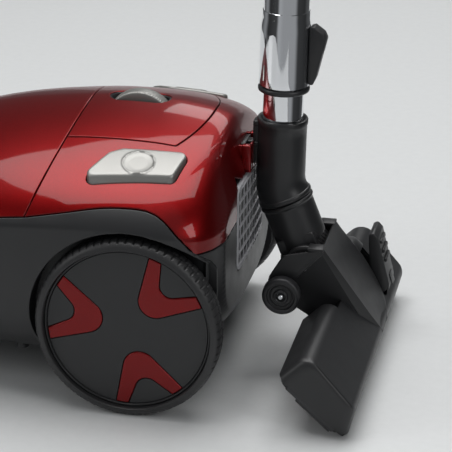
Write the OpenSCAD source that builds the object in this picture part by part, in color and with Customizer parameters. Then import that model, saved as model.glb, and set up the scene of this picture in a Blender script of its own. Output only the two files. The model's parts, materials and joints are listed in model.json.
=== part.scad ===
/* [Canister] */
// Length of the body from nose to rear face
body_len = 393; // [375:1:420]
// Half width of the body at the waist, beside the rear wheels
body_half_w = 135; // [133:0.5:137]
// Height of the crown of the shell above the floor
crown_z = 216; // [214:0.5:219]
// Wall thickness of the moulded covers
wall = 2.8; // [2.4:0.1:3.2]
// Gap left between two neighbouring covers
seam = 0.6; // [0.4:0.1:1]

/* [Rear wheels] */
// Outer radius of the rear tyre
tyre_r = 73.5; // [72:0.5:74]
// Distance from the centre plane to the outer face of the tyre
wheel_out = 138.5; // [137:0.5:140]
// Width of the tyre
tyre_w = 23; // [20:0.5:23]
// Radius of the fixed stub axle
axle_r = 6; // [5:0.25:7]

/* [Front castor] */
// Radius of the castor wheel
castor_r = 18; // [16:0.5:19]
// Distance of the castor swivel ahead of the rear axle
castor_ahead = 235; // [225:1:240]

/* [Wand and floor head] */
// Outer radius of the inner wand tube
tube_r = 16; // [15.5:0.1:16.2]
// Length of the outer wand tube
tube_len = 560; // [500:5:600]
// Half width of the floor head
head_half_w = 139; // [132:0.5:140]
// Nose-down tilt of the parked floor head
head_tilt = 42; // [41:0.5:43]
// Lean of the elbow barrel from the vertical
elbow_lean = 22; // [21:0.5:23]

/* [Controls] */
// Travel of the two foot pedals
pedal_travel = 6; // [4:0.5:6]
// Radius of the suction control wheel
dial_r = 29; // [28:0.5:30]

/* [Hidden] */

$fn = 64;
tiny = 0.01;
big = 500;

// The modules work in a frame whose origin lies on the floor under the rear axle.
// x_mid moves that frame so that the origin ends at the middle of the whole object's box.
x_rear = 68;
x_nose = x_rear - body_len;
head_nose = [171.5, 1.2];
function head_to_world(u, w) = [head_nose[0] + u * cos(head_tilt) + w * sin(head_tilt), 0,
                                head_nose[1] - u * sin(head_tilt) + w * cos(head_tilt)];
brow = [-3, 18];
x_mid = (x_nose + head_to_world(brow[0], brow[1])[0]) / 2;
axle_z = tyre_r;

// ---- colours ----
red = [0.50, 0.03, 0.05];
charcoal = [0.22, 0.22, 0.23];
black = [0.09, 0.09, 0.10];
silver = [0.76, 0.75, 0.72];
chrome = [0.85, 0.86, 0.88];
steel = [0.62, 0.63, 0.65];
white = [0.90, 0.90, 0.88];
card = [0.72, 0.58, 0.42];
foam = [0.25, 0.27, 0.32];
copper = [0.72, 0.40, 0.20];
green = [0.10, 0.35, 0.18];

// ---- smooth curve through a short table of [x, value] pairs ----
function step_of(t, x, i = 0) = (i >= len(t) - 2 || x < t[i + 1][0]) ? i : step_of(t, x, i + 1);
function slope_of(t, i) =
    let (a = max(i - 1, 0), b = min(i + 1, len(t) - 1))
    (t[b][1] - t[a][1]) / (t[b][0] - t[a][0]);
function curve(t, x) =
    let (i = step_of(t, x), h = t[i + 1][0] - t[i][0], s = (x - t[i][0]) / h)
    let (m0 = slope_of(t, i) * h, m1 = slope_of(t, i + 1) * h)
    (2 * s ^ 3 - 3 * s ^ 2 + 1) * t[i][1] + (s ^ 3 - 2 * s ^ 2 + s) * m0
    + (3 * s ^ 2 - 2 * s ^ 3) * t[i + 1][1] + (s ^ 3 - s ^ 2) * m1;

// ---- body form: half width, crown, waist and base along the length ----
nose = x_nose;
width_t = [[nose, 52], [nose + 15, 80], [nose + 45, 101], [nose + 105, 120], [-130, 129], [-60, 134.5],
           [0, body_half_w], [30, body_half_w - 2], [50, body_half_w - 11], [62, body_half_w - 25],
           [x_rear, body_half_w - 42]];
crown_t = [[nose, 112], [nose + 15, 130], [nose + 45, 149], [nose + 105, 176], [-140, crown_z - 13],
           [-60, crown_z - 1], [0, crown_z], [35, crown_z - 4], [52, crown_z - 9], [58, crown_z - 15],
           [63, crown_z - 31], [x_rear, crown_z - 50]];
waist_t = [[nose, 84], [nose + 45, 96], [nose + 105, 120], [-140, 143], [-60, 152], [0, 153],
           [x_rear, 146]];
base_t = [[nose, 52], [nose + 20, 34], [nose + 60, 26], [-150, 24], [-20, 24], [30, 32], [50, 42],
          [x_rear, 60]];
stations = [nose, nose + 5, nose + 15, nose + 30, nose + 50, nose + 75, nose + 105, -190, -160, -130,
            -100, -80, -60, -35, -10, 10, 25, 38, 48, 54, 59, 63.5, x_rear];
ring_n = 36;
roof_power = 2 / 1.5;
belly_power = 2 / 4;

function spow(v, p) = sign(v) * abs(v) ^ p;
function form_ring(x, d) =
    let (w = curve(width_t, x) - d, zt = curve(crown_t, x) - d, zw = curve(waist_t, x),
         zb = curve(base_t, x) + d)
    [for (k = [0:ring_n - 1])
        let (a = 360 * k / ring_n, up = sin(a) >= 0, p = up ? roof_power : belly_power,
             rise = up ? zt - zw : zw - zb)
        [w * spow(cos(a), p), zw + rise * spow(sin(a), p)]];

// A closed solid through rings of equal length, each ring a list of [x, y, z].
module loft(rings) {
    m = len(rings[0]);
    n = len(rings);
    sides = [for (i = [0:n - 2], k = [0:m - 1])
        let (a = i * m + k, b = i * m + (k + 1) % m)
        each [[a, a + m, b], [b, a + m, b + m]]];
    start = [for (k = [0:m - 1]) k];
    end = [for (k = [m - 1:-1:0]) (n - 1) * m + k];
    polyhedron(points = [for (r = rings) each r], faces = concat(sides, [start, end]));
}

// The outer form of the canister, drawn in by d on every side.
module body_form(d = 0) {
    mid = (x_nose + x_rear) / 2;
    k = (body_len - 2 * d) / body_len;
    loft([for (x = stations) [for (p = form_ring(x, d)) [mid + (x - mid) * k, p[0], p[1]]]]);
}

// A side outline, given as [x, z], that runs across the whole width.
module across(half = 160) {
    rotate([90, 0, 0]) linear_extrude(2 * half, center = true) children();
}

// Copies the child to both sides of the centre plane.
module both_sides() {
    children();
    mirror([0, 1, 0]) children();
}

// The canister is split by a sloping plane: the hinged cover lies ahead of it.
gap_x = -66;
gap_z = 200;
gap_lean = 0.357;
function gap_at(z) = gap_x - gap_lean * (gap_z - z);

// Height of the line between the red covers and the chassis.
belt_t = [[x_nose - 20, 78], [x_nose + 45, 86], [x_nose + 105, 110], [-160, 138], [-100, 155], [-60, 158]];
belt_xs = [x_nose - 20, x_nose, x_nose + 20, x_nose + 45, x_nose + 75, x_nose + 105, -190, -160,
    -130, -100];
belt_z = 157.5;
// The line climbs over the rear wheel and drops to the leg behind it.
arch_t = [[-81, belt_z], [-50, 163.5], [-20, 168.5], [8, 169], [20, 166.5], [31, 160], [41, 150],
    [49, 139.5]];
arch_xs = [for (x = [-76:6:20]) x, for (x = [23:3:49]) x];
leg_z = 136;
pocket_r = 79;
pocket_y = 113;

// ---- side outlines ----
module cover_side() {
    points = concat([for (x = belt_xs) [x, curve(belt_t, x)]],
                    [[gap_at(belt_z), belt_z], [gap_at(240), 240], [x_nose - 20, 240]]);
    polygon(points);
}

module shell_side() {
    polygon(concat([[gap_at(240) + seam, 240], [gap_at(belt_z) + seam, belt_z]],
                   [for (x = arch_xs) [x, curve(arch_t, x)]],
                   [[51, leg_z], [x_rear + 20, leg_z], [x_rear + 20, 240]]));
}

module chassis_side() {
    difference() {
        polygon(concat([[x_rear + 20, 0], [x_nose - 20, 0]],
                       [for (x = belt_xs) [x, curve(belt_t, x) - seam]],
                       [[gap_at(belt_z), belt_z - seam], [gap_at(belt_z), belt_z + 20],
                           [x_rear + 20, belt_z + 20]]));
        offset(delta = seam) shell_side();
        // Room for the lower edge of the cover
        polygon([[gap_at(belt_z) - 20, belt_z - seam], [gap_at(belt_z) + seam, belt_z - seam],
            [gap_at(240), 240],
                 [gap_at(240) - 20, 240]]);
    }
}

// ---- plan outline of the fixed top panel ----
lid_half = 63;
lid_back = 40;
module lid_plan() {
    intersection() {
        translate([gap_at(gap_z) - 40, -lid_half]) square([lid_back - gap_at(gap_z) + 40, 2 * lid_half]);
        translate([lid_back - 118, 0]) circle(118, $fn = 96);
    }
}

// ---- pedal outline in plan, on the near side ----
pedal_top = [-25, -75, 200];
pedal_slope = 21;
pedal_thick = 10;
pedal_stem = [0, -88];
module pedal_plan(d = 0) {
    offset(r = 5 + d, $fn = 32)
        polygon([[-33, -103], [-23, -85], [-15, -80], [28, -75.5], [24, -94], [-20, -101]]);
}

// Everything under the sloping top face of the pedal, lowered by d.
module under_pedal_face(d = 0) {
    translate([pedal_top[0], pedal_top[1], pedal_top[2] - d])
        rotate([pedal_slope, 3, 0])
            translate([-big / 2, -big / 2, -big]) cube([big, big, big]);
}

module pedal_cup_space() {
    difference() {
        translate([0, 0, 100]) linear_extrude(140) pedal_plan(seam);
        under_pedal_face(pedal_thick + pedal_travel + 1);
    }
}

module pedal_cup() {
    difference() {
        intersection() {
            translate([0, 0, 100]) linear_extrude(140) pedal_plan(seam + 2.4);
            body_form(0.4);
        }
        under_pedal_face(pedal_thick + pedal_travel + 3.4);
        pedal_cup_space();
        translate([pedal_stem[0], pedal_stem[1], 100]) cylinder(r = 5.4, h = 100);
    }
}

// ---- the wheel pockets and what the chassis holds ----
module pocket(r, y_from) {
    translate([0, -y_from, axle_z]) rotate([90, 0, 0]) cylinder(r = r, h = 60, $fn = 96);
}

castor_x = -castor_ahead;
castor_top = 46;
castor_pocket_r = 36;
motor_x = [-84, 16];
motor_y = -38;
motor_z = 92;
motor_r = 44;
mount_r = 47;
reel_x = -26;
reel_z = 106;
reel_y = [16, 60];
reel_r = 62;
seat_z = 136;
shelf_z = 112;
post_y = 100;
screw_at = [[-190, 78], [-100, 84], [28, 84]];
screw_r = 2.2;

module lower_chassis() color(charcoal) {
    difference() {
        union() {
            difference() {
                intersection() {
                    body_form();
                    across() chassis_side();
                }
                difference() {
                    body_form(wall + 0.2);
                    both_sides() pocket(pocket_r + 3, pocket_y - wall);
                    translate([castor_x, 0, 20])
                        cylinder(r = castor_pocket_r + wall, h = castor_top - 20 + wall);
                }
            }
            // Bosses for the stub axles
            both_sides()
                translate([0, -pocket_y + 0.5, axle_z]) rotate([-90, 0, 0]) cylinder(r = 11, h = 18);
            // Boss for the castor swivel
            translate([castor_x, 0, castor_top]) cylinder(r = 10, h = 20);
            // Cradles that the rubber motor mounts rest in
            for (x = [motor_x[0] + 3, motor_x[1] - 10])
                translate([x, motor_y - 40, 25]) cube([7, 80, 50]);
            // Shelves beside the wheel pockets, below the pedals
            both_sides() translate([-14, -pocket_y + 1, shelf_z - 6]) cube([28, 17, 6]);
            translate([-10, post_y - 19, shelf_z - 6]) cube([20, 18, seat_z - shelf_z + 6]);
            // Screw towers
            for (p = screw_at) both_sides()
                translate([p[0], -p[1], 25]) cylinder(r = 5, h = 24);
            // Feet of the reel spindle
            translate([reel_x - 12, reel_y[1] + 8, 25]) cube([24, 4, reel_z - 25 + 12]);
        }
        both_sides() pocket(pocket_r, pocket_y);
        both_sides()
            translate([0, -pocket_y - 5, axle_z]) rotate([-90, 0, 0]) cylinder(r = axle_r, h = 30);
        translate([castor_x, 0, 10]) cylinder(r = castor_pocket_r, h = castor_top - 10);
        translate([castor_x, 0, castor_top - 5]) cylinder(r = 4.05, h = 40);
        translate([motor_x[0] - 5, motor_y, motor_z]) rotate([0, 90, 0]) cylinder(r = mount_r, h = 120);
        for (p = screw_at) both_sides() {
            translate([p[0], -p[1], 10]) cylinder(r = screw_r, h = 34);
            translate([p[0], -p[1], 10]) cylinder(r = 3.9, h = 18);
        }
        translate([reel_x, reel_y[1], reel_z]) rotate([-90, 0, 0]) cylinder(r = 5, h = 20);
        grille_hole();
        cord_hole();
        translate([x_nose + 4, -17, 60]) cube([14, 34, 30]);
    }
}

bulk_x = -93;
filter_y = [-74, -4];
filter_z = [58, 128];
module bulkhead() color(charcoal) {
    difference() {
        intersection() {
            body_form(7);
            translate([bulk_x, -120, 20]) cube([3, 240, 200]);
        }
        translate([bulk_x - 1, filter_y[0], filter_z[0]])
            cube([5, filter_y[1] - filter_y[0], filter_z[1] - filter_z[0]]);
        for (p = screw_at) both_sides() translate([p[0], -p[1], 20]) cylinder(r = 7, h = 34);
    }
}

// ---- the red covers ----
dial_x = -22;
dial_z = 221 - dial_r;
dial_w = 13;
slot_len = 50;
slot_w = 22;

module dial_slot(d = 0) {
    translate([dial_x, 0, 170]) linear_extrude(80)
        hull() both_ends(slot_len - slot_w) circle(r = slot_w / 2 + d, $fn = 32);
}
module both_ends(span) {
    translate([-span / 2, 0]) children();
    translate([span / 2, 0]) children();
}

hinge_x = -30;
hinge_z = 204;
ear_y = [17, 31];
bracket_x = 72.5;
bracket_z = [165, 188];
module rear_shell() color(red) {
    difference() {
        union() {
            difference() {
                intersection() {
                    body_form();
                    across() shell_side();
                }
                body_form(wall);
                translate([0, 0, 150]) linear_extrude(100) offset(delta = seam) lid_plan();
                both_sides() pedal_cup_space();
            }
            // Ledge that the top panel sits on
            difference() {
                intersection() {
                    body_form(wall - 0.5);
                    translate([0, 0, 150]) linear_extrude(100)
                        intersection() {
                            offset(delta = 5) lid_plan();
                            translate([gap_at(hinge_z) + 8, -100]) square([200, 200]);
                        }
                }
                body_form(wall + 2.6);
                translate([0, 0, 150]) linear_extrude(100) offset(delta = -5) lid_plan();
                difference() {
                    translate([0, 0, 150]) linear_extrude(100) offset(delta = seam) lid_plan();
                    body_form(wall + 0.05);
                }
            }
            both_sides() pedal_cup();
        }
        grille_hole();
        cord_hole();
        both_sides() pocket(pocket_r + 2, pocket_y - wall - 1);
        // Window behind the parking bracket, for the tongue of the hook
        translate([62.5, -13, 168.5]) cube([30, 26, 60]);
    }
}

module lid_panel() color(red) {
    difference() {
        union() {
            difference() {
                intersection() {
                    body_form();
                    translate([0, 0, 150]) linear_extrude(100)
                        intersection() {
                            lid_plan();
                            translate([-100, -100]) square([200, 200]);
                        }
                    across() shell_side();
                }
                body_form(wall);
            }
            intersection() {
                body_form(0.8);
                difference() {
                    dial_slot(2);
                    dial_slot();
                }
                translate([dial_x - 50, -50, 211]) cube([100, 100, 40]);
            }
            // Ears that hold the hinge pins
            both_sides() for (y = ear_y)
                intersection() {
                    body_form(wall - 0.2);
                    translate([hinge_x - 7, -y - 4, hinge_z - 8]) cube([14, 4, 30]);
                }
        }
        dial_slot();
        translate([hinge_x, 0, hinge_z]) rotate([90, 0, 0]) cylinder(r = 2.5, h = 120, center = true);
    }
}

module parking_bracket() color(red) {
    lip = 4;
    difference() {
        translate([x_rear - 7, -19, bracket_z[0]])
            cube([bracket_x - x_rear + 7, 38, bracket_z[1] - bracket_z[0]]);
        body_form(-0.05);
        translate([x_rear - 20, -12.5, bracket_z[0] + lip]) cube([22.2, 25, 40]);
        translate([x_rear - 20, -5.5, bracket_z[0] + lip]) cube([40, 11, 40]);
    }
}

// ---- exhaust grille in the rear face ----
grille_y = [-48, 52];
grille_z = [91, 163];
module grille_area(d = 0) {
    translate([0, 0]) offset(r = 7 + d, $fn = 32) offset(r = -7)
        translate([grille_y[0], grille_z[0]]) square([grille_y[1] - grille_y[0],
            grille_z[1] - grille_z[0]]);
}
module through_rear(x, len) {
    translate([x, 0, 0]) rotate([90, 0, 90]) linear_extrude(len) children();
}
module grille_hole() {
    through_rear(54, 40) grille_area(seam);
}
module exhaust_grille() color(charcoal) {
    bulge = 3;
    span = (grille_y[1] - grille_y[0]) / 2;
    mid_y = (grille_y[1] + grille_y[0]) / 2;
    bow_r = (span ^ 2 + bulge ^ 2) / (2 * bulge);
    intersection() {
        through_rear(54, 40) grille_area();
        difference() {
            translate([x_rear + bulge - bow_r, mid_y, 80]) cylinder(r = bow_r, h = 100, $fn = 180);
            translate([x_rear + bulge - bow_r, mid_y, 79]) cylinder(r = bow_r - 3.2, h = 102, $fn = 180);
            for (i = [0:8], j = [0:5])
                translate([50, grille_y[0] + 8.5 + i * 9.6, grille_z[0] + 7.5 + j * 10.4])
                    cube([40, 7.4, 8]);
        }
    }
}

module exhaust_filter() color(white) {
    translate([52, grille_y[0] + 6, grille_z[0] + 3]) cube([13.3, 88, 66]);
}

// ---- motor, mounts and filter ----
module motor_casing() color(white) {
    translate([motor_x[0], motor_y, motor_z]) rotate([0, 90, 0]) {
        difference() {
            cylinder(r = motor_r, h = motor_x[1] - motor_x[0]);
            translate([0, 0, 2.5]) cylinder(r = motor_r - 2.5, h = 30);
            translate([0, 0, 36]) cylinder(r = 34, h = 61);
            translate([0, 0, -1]) cylinder(r = 18, h = 10);
            translate([0, 0, 30]) cylinder(r = 4.05, h = 10);
            translate([0, 0, 95]) cylinder(r = 4.05, h = 10);
            for (a = [0:60:300]) rotate(a) translate([38, 0, 20]) cylinder(r = 2.6, h = 90);
        }
    }
}

module motor_stator() color(steel) {
    translate([motor_x[0] + 48, motor_y, motor_z]) rotate([0, 90, 0])
        difference() {
            cylinder(r = 34, h = 36);
            translate([0, 0, -1]) cylinder(r = 22, h = 38);
        }
}

module motor_rotor() color(copper) {
    translate([motor_x[0], motor_y, motor_z]) rotate([0, 90, 0])
        difference() {
            union() {
                translate([0, 0, 12]) cylinder(r = 4, h = 87);
                translate([0, 0, 8]) cylinder(r = 36, h = 2);
                translate([0, 0, 22]) cylinder(r = 36, h = 2);
                translate([0, 0, 8]) cylinder(r = 7, h = 16);
                for (a = [0:40:320]) rotate(a) translate([6, -1, 8]) cube([29, 2, 16]);
                translate([0, 0, 48]) cylinder(r = 21.5, h = 36);
                translate([0, 0, 86]) cylinder(r = 11, h = 8);
            }
            translate([0, 0, 7]) cylinder(r = 3, h = 4);
        }
}

module motor_mounts() color(black) {
    for (x = [motor_x[0] + 3, motor_x[1] - 10])
        translate([x, motor_y, motor_z]) rotate([0, 90, 0])
            difference() {
                cylinder(r = mount_r, h = 7);
                translate([0, 0, -1]) cylinder(r = motor_r, h = 9);
            }
}

module filter_frame() color(charcoal) {
    difference() {
        translate([bulk_x - 5, filter_y[0] - 4, filter_z[0] - 4])
            cube([5, filter_y[1] - filter_y[0] + 8, filter_z[1] - filter_z[0] + 8]);
        translate([bulk_x - 6, filter_y[0], filter_z[0]])
            cube([7, filter_y[1] - filter_y[0], filter_z[1] - filter_z[0]]);
    }
}
module motor_filter() color(foam) {
    translate([bulk_x - 4.5, filter_y[0] + tiny, filter_z[0] + tiny])
        cube([7, filter_y[1] - filter_y[0] - 2 * tiny, filter_z[1] - filter_z[0] - 2 * tiny]);
}

// ---- mains cord reel (its cord is not part of the object) ----
module cord_reel() color(white) {
    translate([reel_x, reel_y[0], reel_z]) rotate([-90, 0, 0])
        difference() {
            union() {
                cylinder(r = reel_r, h = 2.5);
                translate([0, 0, reel_y[1] - reel_y[0] - 2.5]) cylinder(r = reel_r, h = 2.5);
                cylinder(r = 28, h = reel_y[1] - reel_y[0]);
            }
            translate([0, 0, -1]) cylinder(r = 5.05, h = 60);
            translate([0, 0, 4]) cylinder(r = 25, h = 60);
        }
}
module reel_spindle() color(steel) {
    translate([reel_x, reel_y[0] - 1, reel_z]) rotate([-90, 0, 0]) {
        cylinder(r = 5, h = reel_y[1] - reel_y[0] + 13);
        translate([0, 0, -2]) cylinder(r = 8, h = 2);
    }
}
brake_x = 38;
brake_z = 178;
module reel_brake() color(black) {
    translate([brake_x, 40, brake_z]) rotate([90, 0, 0]) cylinder(r = 4, h = 10, center = true);
    translate([brake_x - 50, 36, brake_z - 3]) cube([50, 8, 5]);
    translate([brake_x - 50, 34, reel_z + reel_r - 1.4]) cube([8, 12, brake_z - reel_z - reel_r + 2]);
}

cord_at = [x_rear, 66, 128];
module cord_hole() {
    translate([cord_at[0] - 22, cord_at[1], cord_at[2]]) rotate([0, 90, 0]) cylinder(r = 9, h = 40);
}
module cord_outlet() color(black) {
    translate([cord_at[0] - 9, cord_at[1], cord_at[2]]) rotate([0, 90, 0])
        difference() {
            union() {
                cylinder(r = 9, h = 9);
                translate([0, 0, 9]) cylinder(r = 11, h = 2);
            }
            translate([0, 0, -1]) cylinder(r = 5, h = 20);
        }
}

module main_switch() color(black) {
    translate([-14, -104, shelf_z]) cube([28, 22, seat_z - shelf_z]);
}
module control_board() color(green) {
    translate([dial_x - 26, 9.5, dial_z - 30]) cube([52, 1.6, 42]);
    translate([dial_x, 9.5, dial_z]) rotate([90, 0, 0]) cylinder(r = 3, h = 19);
}

module chassis_screws() color(steel) {
    for (p = screw_at) both_sides()
        translate([p[0], -p[1], 26]) {
            cylinder(r = screw_r, h = 17);
            cylinder(r = 3.8, h = 2);
        }
}

// ---- rear wheels: every piece is drawn on the near side and mirrored for the other ----
disc_r = 66;
insert_bisectors = [-72.3, 47.7, 167.7];
module on_axle(y) {
    translate([0, -y, axle_z]) rotate([90, 0, 0]) children();
}
module wheel_axle() {
    on_axle(pocket_y - 16) cylinder(r = axle_r, h = 33);
}
module wheel_axles() color(steel) both_sides() wheel_axle();

module tyre() {
    w0 = wheel_out - tyre_w;
    c = 7;
    on_axle(w0)
        rotate_extrude($fn = 120)
            polygon(concat(
                [[disc_r, 1.5]],
                [for (a = [-90:15:0]) [tyre_r - c + c * cos(a), c + c * sin(a)]],
                [for (a = [0:15:90]) [tyre_r - c + c * cos(a), tyre_w - c + c * sin(a)]],
                [[disc_r, tyre_w - 1.5]]));
}
module tyre_left() color(black) tyre();
module tyre_right() color(black) mirror([0, 1, 0]) tyre();

// A rounded V whose legs run out to the rim.
function arc_points(c, r, a0, a1, n) = [for (i = [0:n]) let (a = a0 + (a1 - a0) * i / n)
    [c + r * cos(a), r * sin(a)]];
module insert_plan() {
    rim = disc_r - 2.5;
    polygon(concat(arc_points(0, rim, 17, 26, 3), arc_points(33.3, 13.3, 118, 242, 12),
        arc_points(0, rim, -26, -17, 3),
                   arc_points(52.4, 9.6, 232, 128, 10)));
}
disc_face = wheel_out - 5;
insert_depth = 3;
module wheel_inserts() {
    on_axle(disc_face - insert_depth) linear_extrude(insert_depth + 1)
        for (a = insert_bisectors) rotate(a) insert_plan();
}
module wheel_disc() {
    difference() {
        union() {
            on_axle(disc_face - 8) cylinder(r = disc_r - 4, h = 8);
            difference() {
                on_axle(pocket_y + 4) cylinder(r = disc_r, h = disc_face - pocket_y - 4);
                on_axle(pocket_y + 3) cylinder(r = disc_r - 4, h = 40);
            }
            on_axle(pocket_y + 1.5) cylinder(r = 13, h = disc_face - pocket_y - 3);
        }
        on_axle(pocket_y) cylinder(r = axle_r + 0.05, h = 19);
        on_axle(disc_face - insert_depth) linear_extrude(insert_depth + 2)
            for (a = insert_bisectors) rotate(a) insert_plan();
    }
}
module wheel_disc_left() color(charcoal) wheel_disc();
module wheel_disc_right() color(charcoal) mirror([0, 1, 0]) wheel_disc();
module wheel_inserts_left() color(red) wheel_inserts();
module wheel_inserts_right() color(red) mirror([0, 1, 0]) wheel_inserts();

// ---- front castor ----
castor_trail = 12;
module castor_fork() color(black) {
    translate([castor_x, 0, 0])
        difference() {
            union() {
                translate([0, 0, 38.5]) cylinder(r = 24, h = 4.5);
                translate([0, 0, 40]) cylinder(r = 4, h = 24);
                both_sides() translate([castor_trail - 7, 10.5, castor_r - 6]) cube([14, 4, 28]);
            }
            translate([castor_trail, 0, castor_r]) rotate([90, 0, 0])
                cylinder(r = 2, h = 60, center = true);
        }
}
module castor_wheel() color(charcoal) {
    translate([castor_x + castor_trail, 0, castor_r]) rotate([90, 0, 0])
        difference() {
            cylinder(r = castor_r, h = 19, center = true);
            cylinder(r = 2.05, h = 30, center = true);
        }
}
module castor_axle() color(steel) {
    translate([castor_x + castor_trail, 0, castor_r]) rotate([90, 0, 0])
        cylinder(r = 2, h = 29, center = true);
}

// ---- hinged front cover ----
inlet_at = [-262, 0, 150];
inlet_tilt = 32;
inlet_r = 19;
module at_inlet(d = 0) {
    translate(inlet_at) rotate([0, -inlet_tilt, 0]) translate([0, 0, d]) children();
}
// A curved arm that reaches from the hinge pin round the edge of the fixed shell.
module hinge_arm() {
    path = [[0, 0], [-4, -30], [-34, -30], [-52, -6]];
    difference() {
        union() {
            for (i = [0:2])
                hull() for (p = [path[i], path[i + 1]])
                    translate([hinge_x + p[0], 0, hinge_z + p[1]]) rotate([90, 0, 0])
                        cylinder(r = 3, h = 8, center = true, $fn = 24);
            translate([hinge_x, 0, hinge_z]) rotate([90, 0, 0]) cylinder(r = 5, h = 8, center = true);
        }
        translate([hinge_x, 0, hinge_z]) rotate([90, 0, 0]) cylinder(r = 2.55, h = 12, center = true);
    }
}
arm_y = 26;
module front_cover() color(red) {
    difference() {
        union() {
            difference() {
                intersection() {
                    body_form();
                    across() cover_side();
                }
                difference() {
                    body_form(wall);
                    at_inlet(-30) cylinder(r = inlet_r + 7, h = 60);
                }
                at_inlet(-40) cylinder(r = inlet_r + 9, h = 32);
            }
            both_sides() translate([0, arm_y, 0]) hinge_arm();
            // Lug between the arms and the cover
            both_sides() intersection() {
                body_form(wall - 0.3);
                translate([gap_at(hinge_z) - 22, arm_y - 4, hinge_z - 12]) cube([16, 8, 30]);
            }
        }
        at_inlet(-50) cylinder(r = inlet_r + 3, h = 120);
        translate([x_nose - 5, -16, 98]) cube([26, 32, 14]);
        translate([hinge_x, 0, hinge_z]) rotate([90, 0, 0]) cylinder(r = 2.55, h = 120, center = true);
    }
}
module hinge_pins() color(steel) {
    both_sides() translate([hinge_x, -ear_y[0], hinge_z]) rotate([90, 0, 0])
        cylinder(r = 2.5, h = ear_y[1] - ear_y[0] + 4);
}
module cover_latch() color(charcoal) {
    translate([x_nose + 1, -15, 99.5]) cube([8, 30, 11]);
    translate([x_nose + 8, -12, 72]) cube([4, 24, 38.5]);
    translate([x_nose + 5.5, -12, 72]) cube([3, 24, 3]);
}
module hose_socket() color(charcoal) {
    at_inlet(-14)
        difference() {
            union() {
                cylinder(r = inlet_r + 3, h = 34);
                translate([0, 0, 30]) cylinder(r = inlet_r + 8, h = 5);
            }
            translate([0, 0, -1]) cylinder(r = inlet_r, h = 60);
        }
}
module cover_seal() color(black) {
    at_inlet(-19)
        difference() {
            cylinder(r = inlet_r + 5, h = 5);
            translate([0, 0, -1]) cylinder(r = inlet_r + 0.5, h = 7);
        }
}

// ---- dust bag ----
module bag_holder() color(charcoal) {
    at_inlet(-24.7)
        difference() {
            translate([-29, -33, 0]) cube([58, 66, 3]);
            translate([0, 0, -1]) cylinder(r = inlet_r + 4, h = 6);
        }
}
module bag_collar() color(card) {
    at_inlet(-21.7)
        difference() {
            translate([-26, -30, 0]) cube([52, 60, 2.4]);
            translate([0, 0, -1]) cylinder(r = inlet_r + 1, h = 6);
        }
}
bag_mid = [-178, 0, 98];
bag_half = [70, 80, 33];
module dust_bag() color(white) {
    translate(bag_mid) scale(bag_half) sphere(r = 1, $fn = 72);
    at_inlet(-52) cylinder(r = inlet_r + 1, h = 30.2);
}

// ---- controls ----
module power_dial() color(silver) {
    translate([dial_x, 0, dial_z]) rotate([90, 0, 0])
        difference() {
            translate([0, 0, -dial_w / 2]) cylinder(r = dial_r, h = dial_w, $fn = 96);
            cylinder(r = 3.05, h = 40, center = true);
        }
}

module pedal() {
    difference() {
        intersection() {
            translate([0, 0, 100]) linear_extrude(140) pedal_plan();
            under_pedal_face();
        }
        under_pedal_face(pedal_thick);
    }
    intersection() {
        translate([pedal_stem[0], pedal_stem[1], 160]) cylinder(r = 5, h = 60);
        under_pedal_face(pedal_thick - 1);
    }
    translate([pedal_stem[0], pedal_stem[1], 158]) cylinder(r = 9, h = 3);
}
module switch_pedal() color(silver) pedal();
module rewind_pedal() color(silver) mirror([0, 1, 0]) pedal();

// A coil spring along +Z: the swept ring is a hexagon.
module coil(r, wire, height, turns) {
    steps = 12 * turns;
    loft([for (i = [0:steps]) let (a = 30 * i, z = wire + (height - 2 * wire) * i / steps)
        [for (k = [0:5]) [(r + wire * cos(60 * k)) * cos(a), (r + wire * cos(60 * k)) * sin(a),
                             z + wire * sin(60 * k)]]]);
}
spring_top = 158;
module pedal_spring() {
    translate([pedal_stem[0], pedal_stem[1], seat_z]) coil(6.5, 0.8, spring_top - seat_z, 4);
}
module switch_spring() color(steel) pedal_spring();
module rewind_spring() color(steel) mirror([0, 1, 0]) pedal_spring();

// ---- telescopic wand, parked upright behind the body ----
wand_x = 93.8;
wand_z = 200;
wand_lean = 0.8;
socket_r = 19.5;
socket_top = 208;
ring_z = 226;
module on_wand(z = 0) {
    translate([wand_x, 0, wand_z]) rotate([0, wand_lean, 0]) translate([0, 0, z - wand_z]) children();
}
module tube(r_out, r_in, z0, z1) {
    on_wand(z0) difference() {
        cylinder(r = r_out, h = z1 - z0);
        translate([0, 0, -1]) cylinder(r = r_in, h = z1 - z0 + 2);
    }
}
sleeve_z = [236, 297];
grip_socket = 40;
module inner_tube() color(chrome) tube(tube_r, tube_r - 0.9, 168, ring_z + tube_len - grip_socket - 2);
module outer_tube() color(chrome) {
    top = ring_z + tube_len;
    difference() {
        tube(tube_r + 2, tube_r + 1, ring_z + 9, top);
        on_wand(top - grip_socket) cylinder(r = tube_r + 1.2, h = grip_socket + 1);
    }
}
module tube_end_ring() color(black) {
    tube(tube_r + 4, tube_r + 0.06, ring_z + 4.4, ring_z + 8.9);
}
module tube_sleeve() color(chrome) {
    on_wand(sleeve_z[0])
        rotate_extrude()
            polygon([[tube_r + 2, 0], [tube_r + 3.6, 0], [tube_r + 3.8, 3], [tube_r + 3.7, 40],
                     [tube_r + 2.6, 58], [tube_r + 2.2, 60.5], [tube_r + 2, 60.5]]);
}
module tube_latch() color(charcoal) {
    on_wand(238)
        difference() {
            rotate([90, 0, 0]) linear_extrude(13, center = true)
                polygon([[tube_r + 4.1, 0], [tube_r + 8, 0.5], [tube_r + 10, 6], [tube_r + 17, 38],
                         [tube_r + 15.5, 42], [tube_r + 8, 47.5], [tube_r + 4.1, 46]]);
            translate([0, 0, -1]) cylinder(r = tube_r + 4.05, h = 60);
        }
}

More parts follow.
